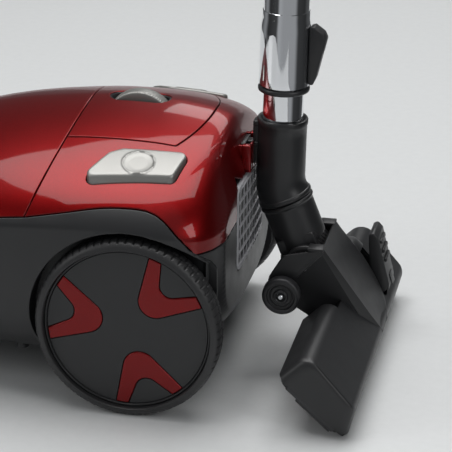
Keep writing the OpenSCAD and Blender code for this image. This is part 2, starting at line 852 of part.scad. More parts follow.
// The bend between the upright socket and the leaning barrel.
bend = [98, 0, 139];
barrel_r = 21.3;
swivel_r = 14;
module on_barrel(d = 0) {
    translate(bend) rotate([0, 180 - elbow_lean, 0]) translate([0, 0, d]) children();
}
module elbow_socket() color(charcoal) {
    difference() {
        union() {
            on_wand(150) cylinder(r = socket_r, h = socket_top - 150);
            hull() {
                on_wand(158) cylinder(r = socket_r - 0.3, h = 1, $fn = 32);
                on_barrel(-5) cylinder(r = barrel_r - 0.3, h = 5 - 0.4, $fn = 32);
            }
            on_barrel(-4.4) cylinder(r = barrel_r, h = 4);
            // Hook for the parking bracket
            translate([71, -4.6, 170]) cube([9, 9.2, 33]);
            translate([x_rear + 2.6 - 4.4 - 2, -11.5, 170]) cube([3.9, 23, 17]);
            translate([x_rear - 2, -4.6, 170]) cube([8, 9.2, 17]);
        }
        on_wand(168) cylinder(r = tube_r, h = 60);
        on_wand(152) cylinder(r = tube_r - 2.5, h = 20);
        on_barrel(-20) cylinder(r = swivel_r, h = 30);
        on_wand(socket_top - 2) cylinder(r1 = tube_r, r2 = tube_r + 2.2, h = 2.1);
    }
}

// ---- floor head: u runs to its front edge, w away from its sole ----
module in_head() {
    translate([head_nose[0], 0, head_nose[1]]) rotate([0, head_tilt, 0]) children();
}
pivot_u = -101;
pivot_w = 33;
knuckle_half = 32;
pivot = head_to_world(pivot_u, pivot_w);
module on_pivot(half) {
    translate(pivot) rotate([90, 0, 0]) translate([0, 0, -half]) children();
}

barrel_straight = 27;
module elbow_barrel() color(charcoal) {
    difference() {
        union() {
            on_barrel(0) cylinder(r = barrel_r, h = 3.5);
            on_barrel(3) cylinder(r = barrel_r - 0.8, h = barrel_straight);
            // Spigot that turns in the socket
            on_barrel(-12) cylinder(r = swivel_r - 0.06, h = 14);
            on_pivot(knuckle_half - 4.2) cylinder(r = 16.5, h = 2 * knuckle_half - 8.4);
            hull() {
                on_barrel(barrel_straight - 1) cylinder(r = barrel_r - 1, h = 4, $fn = 32);
                on_pivot(19) cylinder(r = 15, h = 38, $fn = 32);
            }
        }
        on_barrel(2) cylinder(r = 17, h = barrel_straight - 1);
        on_barrel(-13) cylinder(r = 11.5, h = 90);
        on_pivot(40) cylinder(r = 3.05, h = 80);
    }
}

module neck_pins() color(steel) {
    both_sides() translate([pivot[0], -deck_half + 13, pivot[2]]) rotate([90, 0, 0])
        cylinder(r = 3, h = 13);
}

wheel_u = -98;
wheel_w = 6.5;
head_wheel_r = 15.5;
head_wheel_y = 45;
deck_half = 34;
rear_u = -70;
// The wings on both sides of the neck
module head_wings(d = 0) {
    intersection() {
        translate([0, 0, 0]) rotate([90, 0, 0]) linear_extrude(2 * head_half_w - 2 * d, center = true)
            offset(delta = -d)
                polygon([[rear_u, 4], [rear_u + 1, 16], [rear_u + 3, 26], [rear_u + 9, 29.5], [-14, 23.8],
                         [-7, 22], brow, [0, 3], [-1.5, 0.2], [-4, 0], [rear_u + 4, 0]]);
        linear_extrude(80)
            offset(r = 8 - d, $fn = 32)
                polygon([[rear_u + 8, 8 - head_half_w], [-9, 8 - head_half_w], [-8, -60], [-8, 60],
                         [-9, head_half_w - 8], [rear_u + 8, head_half_w - 8]]);
    }
}
// The raised deck that runs from the neck to a point at the front
module head_deck(d = 0) {
    rotate([90, 0, 0]) linear_extrude(2 * (deck_half + 20), center = true)
        offset(delta = -d) polygon([[-104, -1], [-104, 57.5], [-100, 57], [-14, 24.3], [-12, 10],
            [-30, 0]]);
}
module deck_plan(d = 0) {
    half = deck_half - d;
    polygon(concat([[-130, -half], [-130, half], [-92, half]],
                   [for (s = [0:0.1:1]) [-92 + (80 - d) * s, half * (1 - s ^ 2.2)]],
                   [for (s = [0.9:-0.1:0]) [-92 + (80 - d) * s, -half * (1 - s ^ 2.2)]]));
}
// Side walls of the neck housing, which carry the pivot pins and the small wheels' axle
module neck_ears() {
    both_sides() translate([0, -deck_half + 3, 0]) rotate([90, 0, 0]) linear_extrude(3)
        offset(r = 3, $fn = 32) offset(delta = -3)
            polygon([[-101.9, 55.6], [-114, 37.6], [-119.4, 29], [-115, 6], [-110, 0.4],
                     [rear_u + 8, 0.4], [rear_u + 8, 26], [-82, 48.6]]);
}
rocker_y = [64, 94];
rocker_hub = [-17, 15];
rocker_slot_u = [-58, -12];
module head_cover() color(charcoal) {
    in_head()
        difference() {
            union() {
                difference() {
                    union() {
                        head_wings();
                        intersection() {
                            head_deck();
                            linear_extrude(70) deck_plan();
                        }
                    }
                    difference() {
                        union() {
                            head_wings(2.4);
                            translate([0, 0, -4]) head_wings(2.4);
                        }
                        // Bosses that carry the rocker's pin
                        for (y = [rocker_y[0] - 6, rocker_y[1] + 2])
                            translate([rocker_hub[0] - 5, y, 4]) cube([10, 4, 30]);
                    }
                    for (drop = [0, 5])
                        translate([0, 0, -drop]) intersection() {
                            head_deck(2.6);
                            linear_extrude(70) deck_plan(2.8);
                        }
                    translate([rear_u - 50, -deck_half + 2.8, -5]) cube([60, 2 * deck_half - 5.6, 30]);
                    translate([-140, -60, -10]) cube([38.5, 120, 90]);
                }
                neck_ears();
            }
            translate([-200, -200, -10]) cube([400, 400, 10.4]);
            translate([rocker_slot_u[0], rocker_y[0] - 1, 10])
                cube([rocker_slot_u[1] - rocker_slot_u[0], rocker_y[1] - rocker_y[0] + 2, 40]);
            translate([wheel_u, 0, wheel_w]) rotate([90, 0, 0]) cylinder(r = 2, h = 120, center = true);
            translate([rocker_hub[0], rocker_y[0] - 7, rocker_hub[1]]) rotate([-90, 0, 0])
                cylinder(r = 1.6, h = 44);
            translate([pivot_u, 0, pivot_w]) rotate([90, 0, 0]) cylinder(r = 3, h = 100, center = true);
            // Room for the barrel and its drum
            translate([pivot_u - 9, -20, pivot_w + 11]) cube([12, 40, 30]);
            translate([pivot_u, 0, pivot_w]) rotate([90, 0, 0])
                cylinder(r = 18, h = 2 * knuckle_half - 2, center = true);
        }
}

mouth_u = [-34, -14];
mouth_half = 118;
module head_sole() color(black) {
    in_head()
        difference() {
            union() {
                translate([0, 0, -3]) linear_extrude(3)
                    offset(r = 6, $fn = 32)
                        polygon([[rear_u + 9, 8 - head_half_w], [-11, 8 - head_half_w],
                                 [-11, head_half_w - 8], [rear_u + 9, head_half_w - 8]]);
                // Upper wall of the air duct
                translate([rear_u + 5, -26, 0]) cube([54, 52, 12]);
            }
            translate([mouth_u[0], -mouth_half, -5]) cube([mouth_u[1] - mouth_u[0], 2 * mouth_half, 20]);
            translate([rear_u + 4, -23, -0.8]) cube([60, 46, 10]);
            translate([brush_u - 1.2, -112.8, -5]) cube([7.4, 225.6, 14.1]);
        }
}

module head_wheel() {
    in_head()
        translate([wheel_u, -head_wheel_y, wheel_w]) rotate([-90, 0, 0])
            difference() {
                cylinder(r = head_wheel_r, h = 9, $fn = 72);
                translate([0, 0, -1]) cylinder(r = 2.05, h = 12);
                translate([0, 0, -1]) difference() {
                    cylinder(r = 10.5, h = 2.2);
                    cylinder(r = 5, h = 3);
                }
            }
}
module head_wheel_left() color(black) head_wheel();
module head_wheel_right() color(black) mirror([0, 1, 0]) head_wheel();
module head_wheel_axle() color(steel) {
    in_head() translate([wheel_u, 0, wheel_w]) rotate([90, 0, 0])
        cylinder(r = 2, h = 2 * head_wheel_y + 1, center = true);
}

rocker_top = [[-68, 55], [-66, 57.5], [-62, 57]];
module rocker_pedal() color(charcoal) {
    in_head() {
        translate([0, rocker_y[1], 0]) rotate([90, 0, 0]) linear_extrude(rocker_y[1] - rocker_y[0])
            difference() {
                polygon(concat(rocker_top, [[-16, 29], [-13, 26], [-13, 12], [-20, 12], [-26, 22],
                                            [-50, 30], [-66, 49]]));
                translate(rocker_hub) circle(r = 1.65);
            }
        // Grip ribs across the tread
        for (u = [-56, -49, -42])
            translate([u, rocker_y[0] + 4, 57 - 0.609 * (u + 62)]) rotate([-90, 0, 0])
                cylinder(r = 1.6, h = rocker_y[1] - rocker_y[0] - 8, $fn = 24);
    }
}

module rocker_pin() color(steel) {
    in_head() translate([rocker_hub[0], rocker_y[0] - 5, rocker_hub[1]]) rotate([-90, 0, 0])
        cylinder(r = 1.6, h = 40);
}

brush_u = -46;
module brush_strip() color(black) {
    in_head() {
        translate([brush_u, -112, 0.2]) cube([5, 224, 7]);
        for (i = [0:27])
            translate([brush_u + 1, -110.5 + i * 8, -5]) cube([3, 5, 5.3]);
    }
}
module lint_strips() color([0.55, 0.08, 0.10]) {
    in_head() for (u = [mouth_u[0] - 5, mouth_u[1] + 2]) both_sides()
        translate([u, -100, -4]) cube([4, 70, 1]);
}

module placed() {
    translate([-x_mid, 0, 0]) children();
}

placed() lower_chassis();
placed() bulkhead();
placed() rear_shell();
placed() lid_panel();
placed() parking_bracket();
placed() exhaust_grille();
placed() exhaust_filter();
placed() motor_casing();
placed() motor_stator();
placed() motor_rotor();
placed() motor_mounts();
placed() motor_filter();
placed() filter_frame();
placed() cord_reel();
placed() reel_spindle();
placed() reel_brake();
placed() cord_outlet();
placed() main_switch();
placed() control_board();
placed() chassis_screws();
placed() wheel_axles();
placed() tyre_left();
placed() tyre_right();
placed() wheel_disc_left();
placed() wheel_disc_right();
placed() wheel_inserts_left();
placed() wheel_inserts_right();
placed() castor_fork();
placed() castor_wheel();
placed() castor_axle();
placed() front_cover();
placed() hinge_pins();
placed() cover_latch();
placed() hose_socket();
placed() cover_seal();
placed() bag_holder();
placed() bag_collar();
placed() dust_bag();
placed() power_dial();
placed() switch_pedal();
placed() rewind_pedal();
placed() switch_spring();
placed() rewind_spring();
placed() inner_tube();
placed() outer_tube();
placed() tube_sleeve();
placed() tube_end_ring();
placed() tube_latch();
placed() elbow_socket();
placed() elbow_barrel();
placed() head_cover();
placed() head_sole();
placed() head_wheel_left();
placed() head_wheel_right();
placed() head_wheel_axle();
placed() neck_pins();
placed() rocker_pedal();
placed() rocker_pin();
placed() brush_strip();
placed() lint_strips();
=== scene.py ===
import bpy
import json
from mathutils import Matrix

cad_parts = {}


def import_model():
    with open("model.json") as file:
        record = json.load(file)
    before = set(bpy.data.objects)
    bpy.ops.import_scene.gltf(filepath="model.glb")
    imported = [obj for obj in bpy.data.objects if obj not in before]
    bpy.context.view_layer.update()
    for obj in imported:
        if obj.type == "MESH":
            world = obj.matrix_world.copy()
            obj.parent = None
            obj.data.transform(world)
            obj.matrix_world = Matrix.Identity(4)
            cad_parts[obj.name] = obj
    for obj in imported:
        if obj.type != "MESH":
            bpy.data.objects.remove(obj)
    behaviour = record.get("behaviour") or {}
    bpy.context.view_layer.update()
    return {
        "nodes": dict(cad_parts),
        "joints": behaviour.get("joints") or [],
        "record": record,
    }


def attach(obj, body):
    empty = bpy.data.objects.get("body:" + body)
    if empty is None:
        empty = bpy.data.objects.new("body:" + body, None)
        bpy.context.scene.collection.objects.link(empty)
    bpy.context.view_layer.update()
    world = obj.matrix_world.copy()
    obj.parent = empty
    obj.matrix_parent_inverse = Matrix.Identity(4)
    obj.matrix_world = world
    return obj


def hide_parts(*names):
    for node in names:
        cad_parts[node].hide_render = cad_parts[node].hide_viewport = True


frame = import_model()

import json
import math
import bpy
import numpy as np
from mathutils import Vector, Matrix, kdtree
from mathutils.geometry import delaunay_2d_cdt

JOINTS = {j["name"]: j for j in frame["joints"]}
NODES = frame["nodes"]

# All lengths below are in millimetres, x rearward and z up, from the floor under the rear axle.
X0 = JOINTS["rear_wheel_left_spin"]["pos_m"][0] * 1000
MM = 0.001


def world(p):
    """Rows of millimetres about the rear axle, turned into metres in the shared frame."""
    p = np.asarray(p, float).reshape(-1, 3)
    return (p + [X0, 0, 0]) * MM


# ---------------------------------------------------------------- materials
SLOTS = {m["slot"]: m for m in frame["record"]["materials"]}


class Graph:
    """Shorthand for a material's node tree round one Principled shader."""

    def __init__(self, name):
        self.mat = bpy.data.materials.new(name)
        self.mat.use_nodes = True
        self.t = self.mat.node_tree
        self.t.nodes.clear()
        self.sh = self.node("BsdfPrincipled")
        self.link(self.sh.outputs[0], self.node("OutputMaterial").inputs[0])
        self.coord = self.node("TexCoord")

    def link(self, a, b):
        self.t.links.new(a, b)

    def fill(self, n, socket, v):
        if isinstance(v, bpy.types.NodeSocket):
            self.link(v, n.inputs[socket])
        else:
            n.inputs[socket].default_value = v

    def node(self, kind, **sockets):
        """A new node. Each named socket gets a number, or a link from another node's output."""
        n = self.t.nodes.new("ShaderNode" + kind)
        for name, v in sockets.items():
            self.fill(n, name.replace("_", " "), v)
        return n

    def shader(self, **sockets):
        for name, v in sockets.items():
            self.fill(self.sh, name.replace("_", " "), v)

    def mapped(self, stretch):
        return self.node("Mapping", Scale=stretch, Vector=self.coord.outputs["Object"]).outputs[0]

    def noise(self, scale, detail=4.0, rough=0.55, stretch=(1, 1, 1)):
        return self.node("TexNoise", Scale=scale, Detail=detail, Roughness=rough,
                         Vector=self.mapped(stretch)).outputs["Fac"]

    def voronoi(self, scale, output="Distance"):
        return self.node("TexVoronoi", Scale=scale, Vector=self.mapped((1, 1, 1))).outputs[output]

    def ramp(self, fac, *stops):
        n = self.node("ValToRGB")
        for e, (pos, col) in zip(n.color_ramp.elements, stops):
            e.position = pos
            e.color = (*col, 1)
        self.link(fac, n.inputs[0])
        return n.outputs[0]

    def span(self, fac, lo, hi, a=0.3, b=0.7):
        """fac from a..b spread over lo..hi."""
        return self.node("MapRange", Value=fac, From_Min=a, From_Max=b, To_Min=lo, To_Max=hi).outputs[0]

    def blend(self, a, ka, b, kb):
        """a × ka + b × kb."""
        def op(kind, p, q):
            n = self.node("Math")
            n.operation = kind
            self.fill(n, 0, p)
            self.fill(n, 1, q)
            return n.outputs[0]
        return op("ADD", op("MULTIPLY", a, ka), op("MULTIPLY", b, kb))

    def bump(self, height, strength, distance, **below):
        return self.node("Bump", Strength=strength, Distance=distance, Height=height, **below).outputs[0]


def tint(col, k):
    return tuple(min(1.0, c * k) for c in col)


def moulded(slot, col, rough=0.5, grain=2600, bump=0.25, spread=0.12, coat=0.0):
    """A moulded plastic: a fine spark-eroded texture, slow colour drift, dust and uneven sheen."""
    g = Graph("mat_" + slot)
    slow = g.noise(9, 5, 0.6)
    g.shader(Base_Color=g.ramp(slow, (0.25, tint(col, 1 - spread)), (0.75, tint(col, 1 + spread))),
             Roughness=g.span(g.blend(slow, 0.6, g.noise(70, 6, 0.7), 0.4), rough - 0.07, rough + 0.08),
             Coat_Weight=coat, Coat_Roughness=0.12,
             Normal=g.bump(g.noise(grain, 3, 0.6), bump, 0.00006,
                           Normal=g.bump(g.noise(38, 2, 0.5), 0.12, 0.0004)))
    return g


def red_lacquer(slot, col):
    """Metallic red under a clear coat, with fine flakes and a slight orange peel."""
    g = Graph("mat_" + slot)
    tone = g.node("RGBToBW", Color=g.voronoi(5200, "Color")).outputs[0]
    glint = g.node("Mix")
    glint.data_type = "RGBA"
    g.link(g.span(tone, 0, 0.55, 0.55, 0.95), glint.inputs[0])
    g.link(g.ramp(g.noise(7, 4, 0.5), (0.3, tint(col, 0.88)), (0.7, tint(col, 1.1))), glint.inputs[6])
    glint.inputs[7].default_value = (*tint(col, 2.2), 1)
    g.shader(Base_Color=glint.outputs[2], Metallic=0.8, Specular_IOR_Level=0.15,
             Roughness=g.span(tone, 0.3, 0.42, 0.1, 0.9), Coat_Weight=0.45, Coat_Roughness=0.05,
             Normal=g.bump(tone, 0.05, 0.00003), Coat_Normal=g.bump(g.noise(420, 2, 0.4), 0.02, 0.00005))
    return g


def metal(slot, col, rough, stretch=(1, 1, 1), brush=300, bump=0.06, spread=0.04, metallic=1.0):
    """Metal or metal paint, brushed by a stretched noise."""
    g = Graph("mat_" + slot)
    streak = g.noise(brush, 4, 0.6, stretch)
    slow = g.noise(14, 5, 0.6)
    g.shader(Base_Color=g.ramp(slow, (0.3, tint(col, 1 - spread)), (0.7, tint(col, 1 + spread))),
             Roughness=g.span(g.blend(streak, 0.5, slow, 0.5), rough * 0.75, rough * 1.3),
             Metallic=metallic, Normal=g.bump(streak, bump, 0.00004))
    return g


def fleece(slot, col, scale=700, rough=0.95):
    """A non-woven or foam: tangled fibres from two noises and a cell pattern."""
    g = Graph("mat_" + slot)
    fibre = g.blend(g.noise(scale, 8, 0.75, (1, 1, 3)), 0.5, g.noise(scale, 8, 0.75, (3, 1, 1)), 0.5)
    g.shader(Base_Color=g.ramp(fibre, (0.3, tint(col, 0.72)), (0.7, tint(col, 1.12))),
             Roughness=g.span(g.noise(20), rough - 0.1, min(1.0, rough + 0.05)), Sheen_Weight=0.35,
             Normal=g.bump(fibre, 0.55, 0.0005, Normal=g.bump(g.voronoi(scale * 0.45), 0.4, 0.0004)))
    return g


RED, CHAR, BLK = "red_gloss", "charcoal_satin", "black_moulding"
SILVER, CHROME = "silver_satin", "tube_chrome"
RED_PAINT = (0.16, 0.0016, 0.0022)
MATS = {RED: red_lacquer(RED, RED_PAINT)}
# Each slot, how it is made, the factor on its recorded colour, and that kind's own settings in order
for slot, kind, k, *rest in (
        (CHAR, moulded, 0.27, 0.4, 2400, 0.22, 0.08),
        ("grey_grille", moulded, 1.9, 0.5, 2400, 0.25, 0.08),
        (BLK, moulded, 1, 0.4, 2600, 0.2),
        ("tyre_rubber", moulded, 1, 0.44, 1500, 0.22, 0.2),
        ("seal_rubber", moulded, 1, 0.75, 1500, 0.4),
        ("white_moulding", moulded, 1, 0.45, 2200, 0.2, 0.05),
        ("board_green", moulded, 1, 0.3, 900, 0.15, 0.12, 0.6),
        (SILVER, metal, 0.5, 0.42, (1, 1, 1), 1900, 0.08, 0.04, 0.7),
        (CHROME, metal, 1, 0.045, (1, 1, 0.05), 900, 0.015, 0.02),
        ("steel", metal, 1, 0.28, (1, 8, 1), 500, 0.1),
        ("copper", metal, 1, 0.3, (9, 1, 1), 700, 0.3),
        ("filter_foam", fleece, 1, 900),
        # filter_fleece is set to 6% of its recorded colour: painted shade, so the filter seen through the grille
        # reads as the dark hollow inside
        ("filter_fleece", fleece, 0.06, 700),
        ("bag_fleece", fleece, 1, 800),
        ("card", fleece, 1, 500, 0.85),
        ("lint_red", fleece, 1, 1600)):
    MATS[slot] = kind(slot, tint(SLOTS[slot]["base_color"], k), *rest)
for sp in frame["record"]["subparts"]:
    ob = NODES[sp["node"]]
    ob.data.materials.clear()
    ob.data.materials.append(MATS[sp["material_slot"]].mat)


# ---------------------------------------------------------------- mesh kit
def make(name, verts, faces, slot, body, nodes=(), normals=None, sharp=32):
    """An object from millimetre vertices. normals, where given, is one normal per face corner."""
    me = bpy.data.meshes.new(name)
    me.from_pydata([tuple(v) for v in world(verts)], [], [tuple(int(i) for i in f) for f in faces])
    me.validate(verbose=False)
    me.shade_smooth()
    ob = bpy.data.objects.new(name, me)
    bpy.context.scene.collection.objects.link(ob)
    if normals is not None and len(normals) == len(me.loops):
        me.normals_split_custom_set([tuple(n) for n in normals])
    else:
        me.set_sharp_from_angle(angle=math.radians(sharp))
    me.materials.append(MATS[slot].mat)
    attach(ob, body)
    if nodes:
        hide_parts(*nodes)
    return ob


class Soup:
    """Collects several closed shapes into one mesh."""

    def __init__(self):
        self.v, self.f, self.n = [], [], 0

    def add(self, verts, faces, flip=False):
        verts = np.asarray(verts, float).reshape(-1, 3)
        self.v.append(verts)
        self.f += [tuple(i + self.n for i in (f[::-1] if flip else f)) for f in faces]
        self.n += len(verts)
        return self

    def done(self, name, slot, body, nodes=(), sharp=32):
        return make(name, np.vstack(self.v), self.f, slot, body, nodes, sharp=sharp)


def basis(axis, hint=(0, 0, 1)):
    """Two unit vectors across an axis, and the axis itself."""
    w = np.asarray(axis, float)
    w = w / np.linalg.norm(w)
    h = np.asarray(hint, float)
    if abs(np.dot(h, w)) > 0.95:
        h = np.array([1.0, 0, 0])
    u = h - np.dot(h, w) * w
    u /= np.linalg.norm(u)
    return u, np.cross(w, u), w


def rounded(points, r, seg=4, closed=True):
    """The corners of a flat outline rounded. r is one radius, or one for each point."""
    pts = [np.asarray(p, float) for p in points]
    rs = [r] * len(pts) if np.isscalar(r) else list(r)
    out = []
    for i, p in enumerate(pts):
        a, b = pts[i - 1], pts[(i + 1) % len(pts)]
        if rs[i] <= 0 or (not closed and i in (0, len(pts) - 1)):
            out.append(p)
            continue
        da, db = a - p, b - p
        la, lb = np.linalg.norm(da), np.linalg.norm(db)
        da, db = da / la, db / lb
        cosang = np.clip(np.dot(da, db), -1, 1)
        ang = math.acos(cosang)
        if ang > math.pi - 0.03:
            out.append(p)
            continue
        t = min(rs[i] / math.tan(ang / 2), 0.48 * la, 0.48 * lb)
        rad = t * math.tan(ang / 2)
        mid = (da + db) / np.linalg.norm(da + db)
        c = p + mid * rad / math.sin(ang / 2)
        s, e = p + da * t - c, p + db * t - c
        a0 = math.atan2(s[1], s[0])
        d = (math.atan2(e[1], e[0]) - a0 + math.pi) % (2 * math.pi) - math.pi
        for k in range(seg + 1):
            an = a0 + d * k / seg
            out.append(c + rad * np.array([math.cos(an), math.sin(an)]))
    return np.array(out)


def ring_faces(n, m, close_v=True, flip=False):
    """Quads between n rings of m points."""
    faces = []
    for i in range(n - 1 + (1 if close_v else 0)):
        for k in range(m):
            a, b = i % n, (i + 1) % n
            q = (a * m + k, a * m + (k + 1) % m, b * m + (k + 1) % m, b * m + k)
            faces.append(q[::-1] if flip else q)
    return faces


def turned(profile, origin, axis, seg, warp=None):
    """The points of a [radius, height] profile turned about an axis, one turn position after another."""
    u, v, w = basis(axis)
    pts = []
    for j in range(seg):
        a = 2 * math.pi * j / seg
        d = math.cos(a) * u + math.sin(a) * v
        pts += [np.asarray(origin) + (warp(r, h, a) if warp else r) * d + h * w for r, h in profile]
    return pts


def lathe(profile, origin, axis, seg=96, warp=None):
    """A closed [radius, height] profile turned about an axis."""
    return np.array(turned(profile, origin, axis, seg, warp)), ring_faces(seg, len(profile))


def solid_lathe(profile, origin, axis, seg=96):
    """As lathe, for a profile that starts and ends on the axis."""
    m = len(profile) - 2
    ends = [np.asarray(origin) + profile[i][1] * basis(axis)[2] for i in (0, -1)]
    faces = []
    for j in range(seg):
        a, b = 2 + j * m, 2 + (j + 1) % seg * m
        faces += [(a + i, a + i + 1, b + i + 1, b + i) for i in range(m - 1)]
        faces += [(0, a, b), (1, b + m - 1, a + m - 1)]
    return np.array(ends + turned(profile[1:-1], origin, axis, seg)), faces


def stack(rings, cap=True):
    """Rings of equal length joined, with flat caps."""
    m = len(rings[0])
    pts = np.vstack(rings)
    faces = ring_faces(len(rings), m, close_v=False, flip=True)
    if cap:
        faces.append(tuple(range(m)))
        faces.append(tuple((len(rings) - 1) * m + k for k in range(m - 1, -1, -1)))
    return pts, faces


def miters(o, least):
    """For each corner of a closed outline, the inward direction and the factor that keeps a margin even."""
    e = np.roll(o, -1, 0) - o
    e /= np.maximum(np.linalg.norm(e, axis=1, keepdims=True), 1e-9)
    nrm = np.stack([-e[:, 1], e[:, 0]], 1)
    nin = nrm + np.roll(nrm, 1, 0)
    nin /= np.maximum(np.linalg.norm(nin, axis=1, keepdims=True), 1e-9)
    return nin, 1 / np.maximum(least, np.sum(nin * nrm, axis=1))


def signed_area(p):
    return 0.5 * np.sum(p[:, 0] * np.roll(p[:, 1], -1) - np.roll(p[:, 0], -1) * p[:, 1])


def slab(outline, place, z0, z1, bevel=0.8, seg=3):
    """A flat outline made thick from z0 to z1, its edges rounded. place maps [x, y, z] to the frame."""
    o = np.asarray(outline, float)
    if signed_area(o) < 0:
        o = o[::-1]
    nin, k = miters(o, 0.5)
    rings = []
    for z, way, steps in ((z0, 1, range(seg + 1)), (z1, -1, range(seg, -1, -1))):
        for s in steps:
            a = math.pi / 2 * s / seg
            rings.append(np.c_[o + nin * (k * bevel * (1 - math.sin(a)))[:, None],
                               np.full(len(o), z + way * bevel * (1 - math.cos(a)))])
    pts, faces = stack(rings)
    return np.array([place(p) for p in pts]), [f[::-1] for f in faces]


def block(lo, hi, bevel=0.8, place=lambda p: p):
    """A box with rounded edges."""
    r = min(bevel, 0.45 * (hi[0] - lo[0]), 0.45 * (hi[1] - lo[1]), 0.45 * (hi[2] - lo[2]))
    o = rounded([[lo[0], lo[1]], [hi[0], lo[1]], [hi[0], hi[1]], [lo[0], hi[1]]], r)
    return slab(o, place, lo[2], hi[2], r)


def rod(a, b, r, seg=32, bevel=0.3):
    a, b = np.asarray(a, float), np.asarray(b, float)
    h = np.linalg.norm(b - a)
    return solid_lathe([(0, 0), (r - bevel, 0), (r, bevel), (r, h - bevel), (r - bevel, h), (0, h)], a, b - a,
                       seg)


def inside(p, poly):
    """Which of the points lie inside the polygon."""
    x, y = p[:, 0], p[:, 1]
    res = np.zeros(len(p), bool)
    j = len(poly) - 1
    for i in range(len(poly)):
        xi, yi = poly[i]
        xj, yj = poly[j]
        hit = ((yi > y) != (yj > y)) & (x < (xj - xi) * (y - yi) / ((yj - yi) if yj != yi else 1e-12) + xi)
        res ^= hit
        j = i
    return res


def within(p, loops):
    """Which of the points lie inside the first outline and outside the others."""
    ok = inside(p, loops[0])
    for hole in loops[1:]:
        ok &= ~inside(p, hole)
    return ok


def dense(poly, step):
    """The outline with points no further apart than step."""
    out = []
    poly = np.asarray(poly, float)
    for i in range(len(poly)):
        a, b = poly[i], poly[(i + 1) % len(poly)]
        n = max(1, int(math.ceil(np.linalg.norm(b - a) / step)))
        out += [a + (b - a) * k / n for k in range(n)]
    out = np.array(out)
    keep = np.linalg.norm(out - np.roll(out, 1, 0), axis=1) > 1e-4
    return out[keep]


def point_grid(x0, x1, y0, y1, step, stagger=0.5):
    """Rows of points step apart. Every second row is moved along by the fraction stagger of a step."""
    gx, gy = np.meshgrid(np.arange(float(x0), x1, step), np.arange(float(y0), y1, step))
    gx[1::2] += stagger * step
    return np.c_[gx.ravel(), gy.ravel()]


def panel(outer, holes, surf, thick, grid, edge=0.9, step=3.5, rim=2.0, down=None, lift=None):
    """A shell over part of a surface. outer and holes are outlines in the surface's own two coordinates.
    surf(points) gives places and outward normals, and grid the points of the mesh, about step apart. Edges
    are rounded by the radius edge and drawn with points rim apart. The wall is thick deep, along the normal
    or along down. lift adds a height to the outside."""
    loops = []
    for i, poly in enumerate([outer, *holes]):
        poly = np.asarray(poly, float)
        if (signed_area(poly) < 0) == (i == 0):
            poly = poly[::-1]
        loops.append(dense(poly, rim))
    seg = 3
    ts = [edge * (1 - math.cos(math.pi / 2 * s / seg)) for s in range(seg + 1)]
    pts, edges, depth, outward = [], [], [], []
    for poly in loops:
        nin, miter = miters(poly, 0.6)
        p0, _ = surf(poly)
        p1, _ = surf(poly + nin * 0.5)
        metric = np.linalg.norm(p1 - p0, axis=1) / 0.5
        scale = miter / np.maximum(metric, 0.2)
        for s, t in enumerate(ts):
            n0 = sum(len(q) for q in pts)
            pts.append(poly + nin * (t * scale)[:, None])
            depth.append(np.full(len(poly), s))
            outward.append(-nin)
            edges += [(n0 + k, n0 + (k + 1) % len(poly)) for k in range(len(poly))]
    n_edge = sum(len(q) for q in pts)
    cand = grid
    cand = cand[within(cand, loops)]
    allp = np.vstack(pts)
    tree = kdtree.KDTree(n_edge)
    for i, q in enumerate(allp):
        tree.insert((q[0], q[1], 0), i)
    tree.balance()
    room = 0.62 * min(step, 2.6) + 0.2 * edge
    cand = cand[np.array([tree.find((q[0], q[1], 0))[2] > room for q in cand], bool)]
    allp = np.vstack([allp, cand])
    depth = np.concatenate(depth + [np.full(len(cand), seg)])
    outward = np.vstack(outward + [np.zeros((len(cand), 2))])
    vo, _, fo, ov, _, _ = delaunay_2d_cdt([Vector(p) for p in allp], edges, [], 0, 1e-5)
    src = np.array([o[0] if len(o) else -1 for o in ov])
    uv = np.array([tuple(v) for v in vo])
    dep = np.where(src >= 0, depth[src], seg)
    outw = np.where((src >= 0)[:, None], outward[src], 0)
    tri = np.array([f for f in fo if len(f) == 3])
    c = uv[tri].mean(1)
    tri = tri[within(c, loops)]
    used = np.unique(tri)
    remap = -np.ones(len(uv), int)
    remap[used] = np.arange(len(used))
    tri = remap[tri]
    uv, dep, outw, src = uv[used], dep[used], outw[used], src[used]
    p, n = surf(uv)
    q, _ = surf(uv + outw * 0.4)
    m = q - p
    m -= np.sum(m * n, axis=1, keepdims=True) * n
    ln = np.linalg.norm(m, axis=1, keepdims=True)
    m = np.where(ln > 1e-6, m / np.maximum(ln, 1e-9), 0)
    t = np.array(ts)[dep.astype(int)]
    sink = edge - np.sqrt(np.maximum(0, edge ** 2 - (edge - t) ** 2))
    d = n if down is None else np.tile(-np.asarray(down, float), (len(n), 1))
    top = p - d * sink[:, None]
    if lift is not None:
        top = top + n * lift(uv)[:, None]
    ct = np.clip((edge - t) / edge, 0, 1)[:, None]
    n_top = d * np.sqrt(1 - ct ** 2) * (ct > 0) + n * (ct <= 0) + m * ct
    n_top /= np.linalg.norm(n_top, axis=1, keepdims=True)
    back = p - d * thick
    # outward triangles have to agree with the normals
    a, b, cc = top[tri[:, 0]], top[tri[:, 1]], top[tri[:, 2]]
    face_n = np.cross(b - a, cc - a)
    flip = np.sum(face_n * n[tri].mean(1), axis=1).sum() < 0
    if flip:
        tri = tri[:, ::-1]
    # boundary edges, for the rim wall
    count = {}
    for f in tri:
        for i in range(3):
            e = (f[i], f[(i + 1) % 3])
            count[e] = count.get(e, 0) + 1
    rim_edges = [e for e in count if (e[1], e[0]) not in count]
    N = len(top)
    verts = np.vstack([top, back])
    faces, normals = [], []
    for f in tri:
        faces.append(tuple(f))
        normals += [n_top[i] for i in f]
    for f in tri:
        faces.append((f[2] + N, f[1] + N, f[0] + N))
        normals += [-n[i] for i in (f[2], f[1], f[0])]
    for i, j in rim_edges:
        faces.append((j, i, i + N, j + N))
        normals += [m[j], m[i], m[i], m[j]]
    return verts, faces, normals


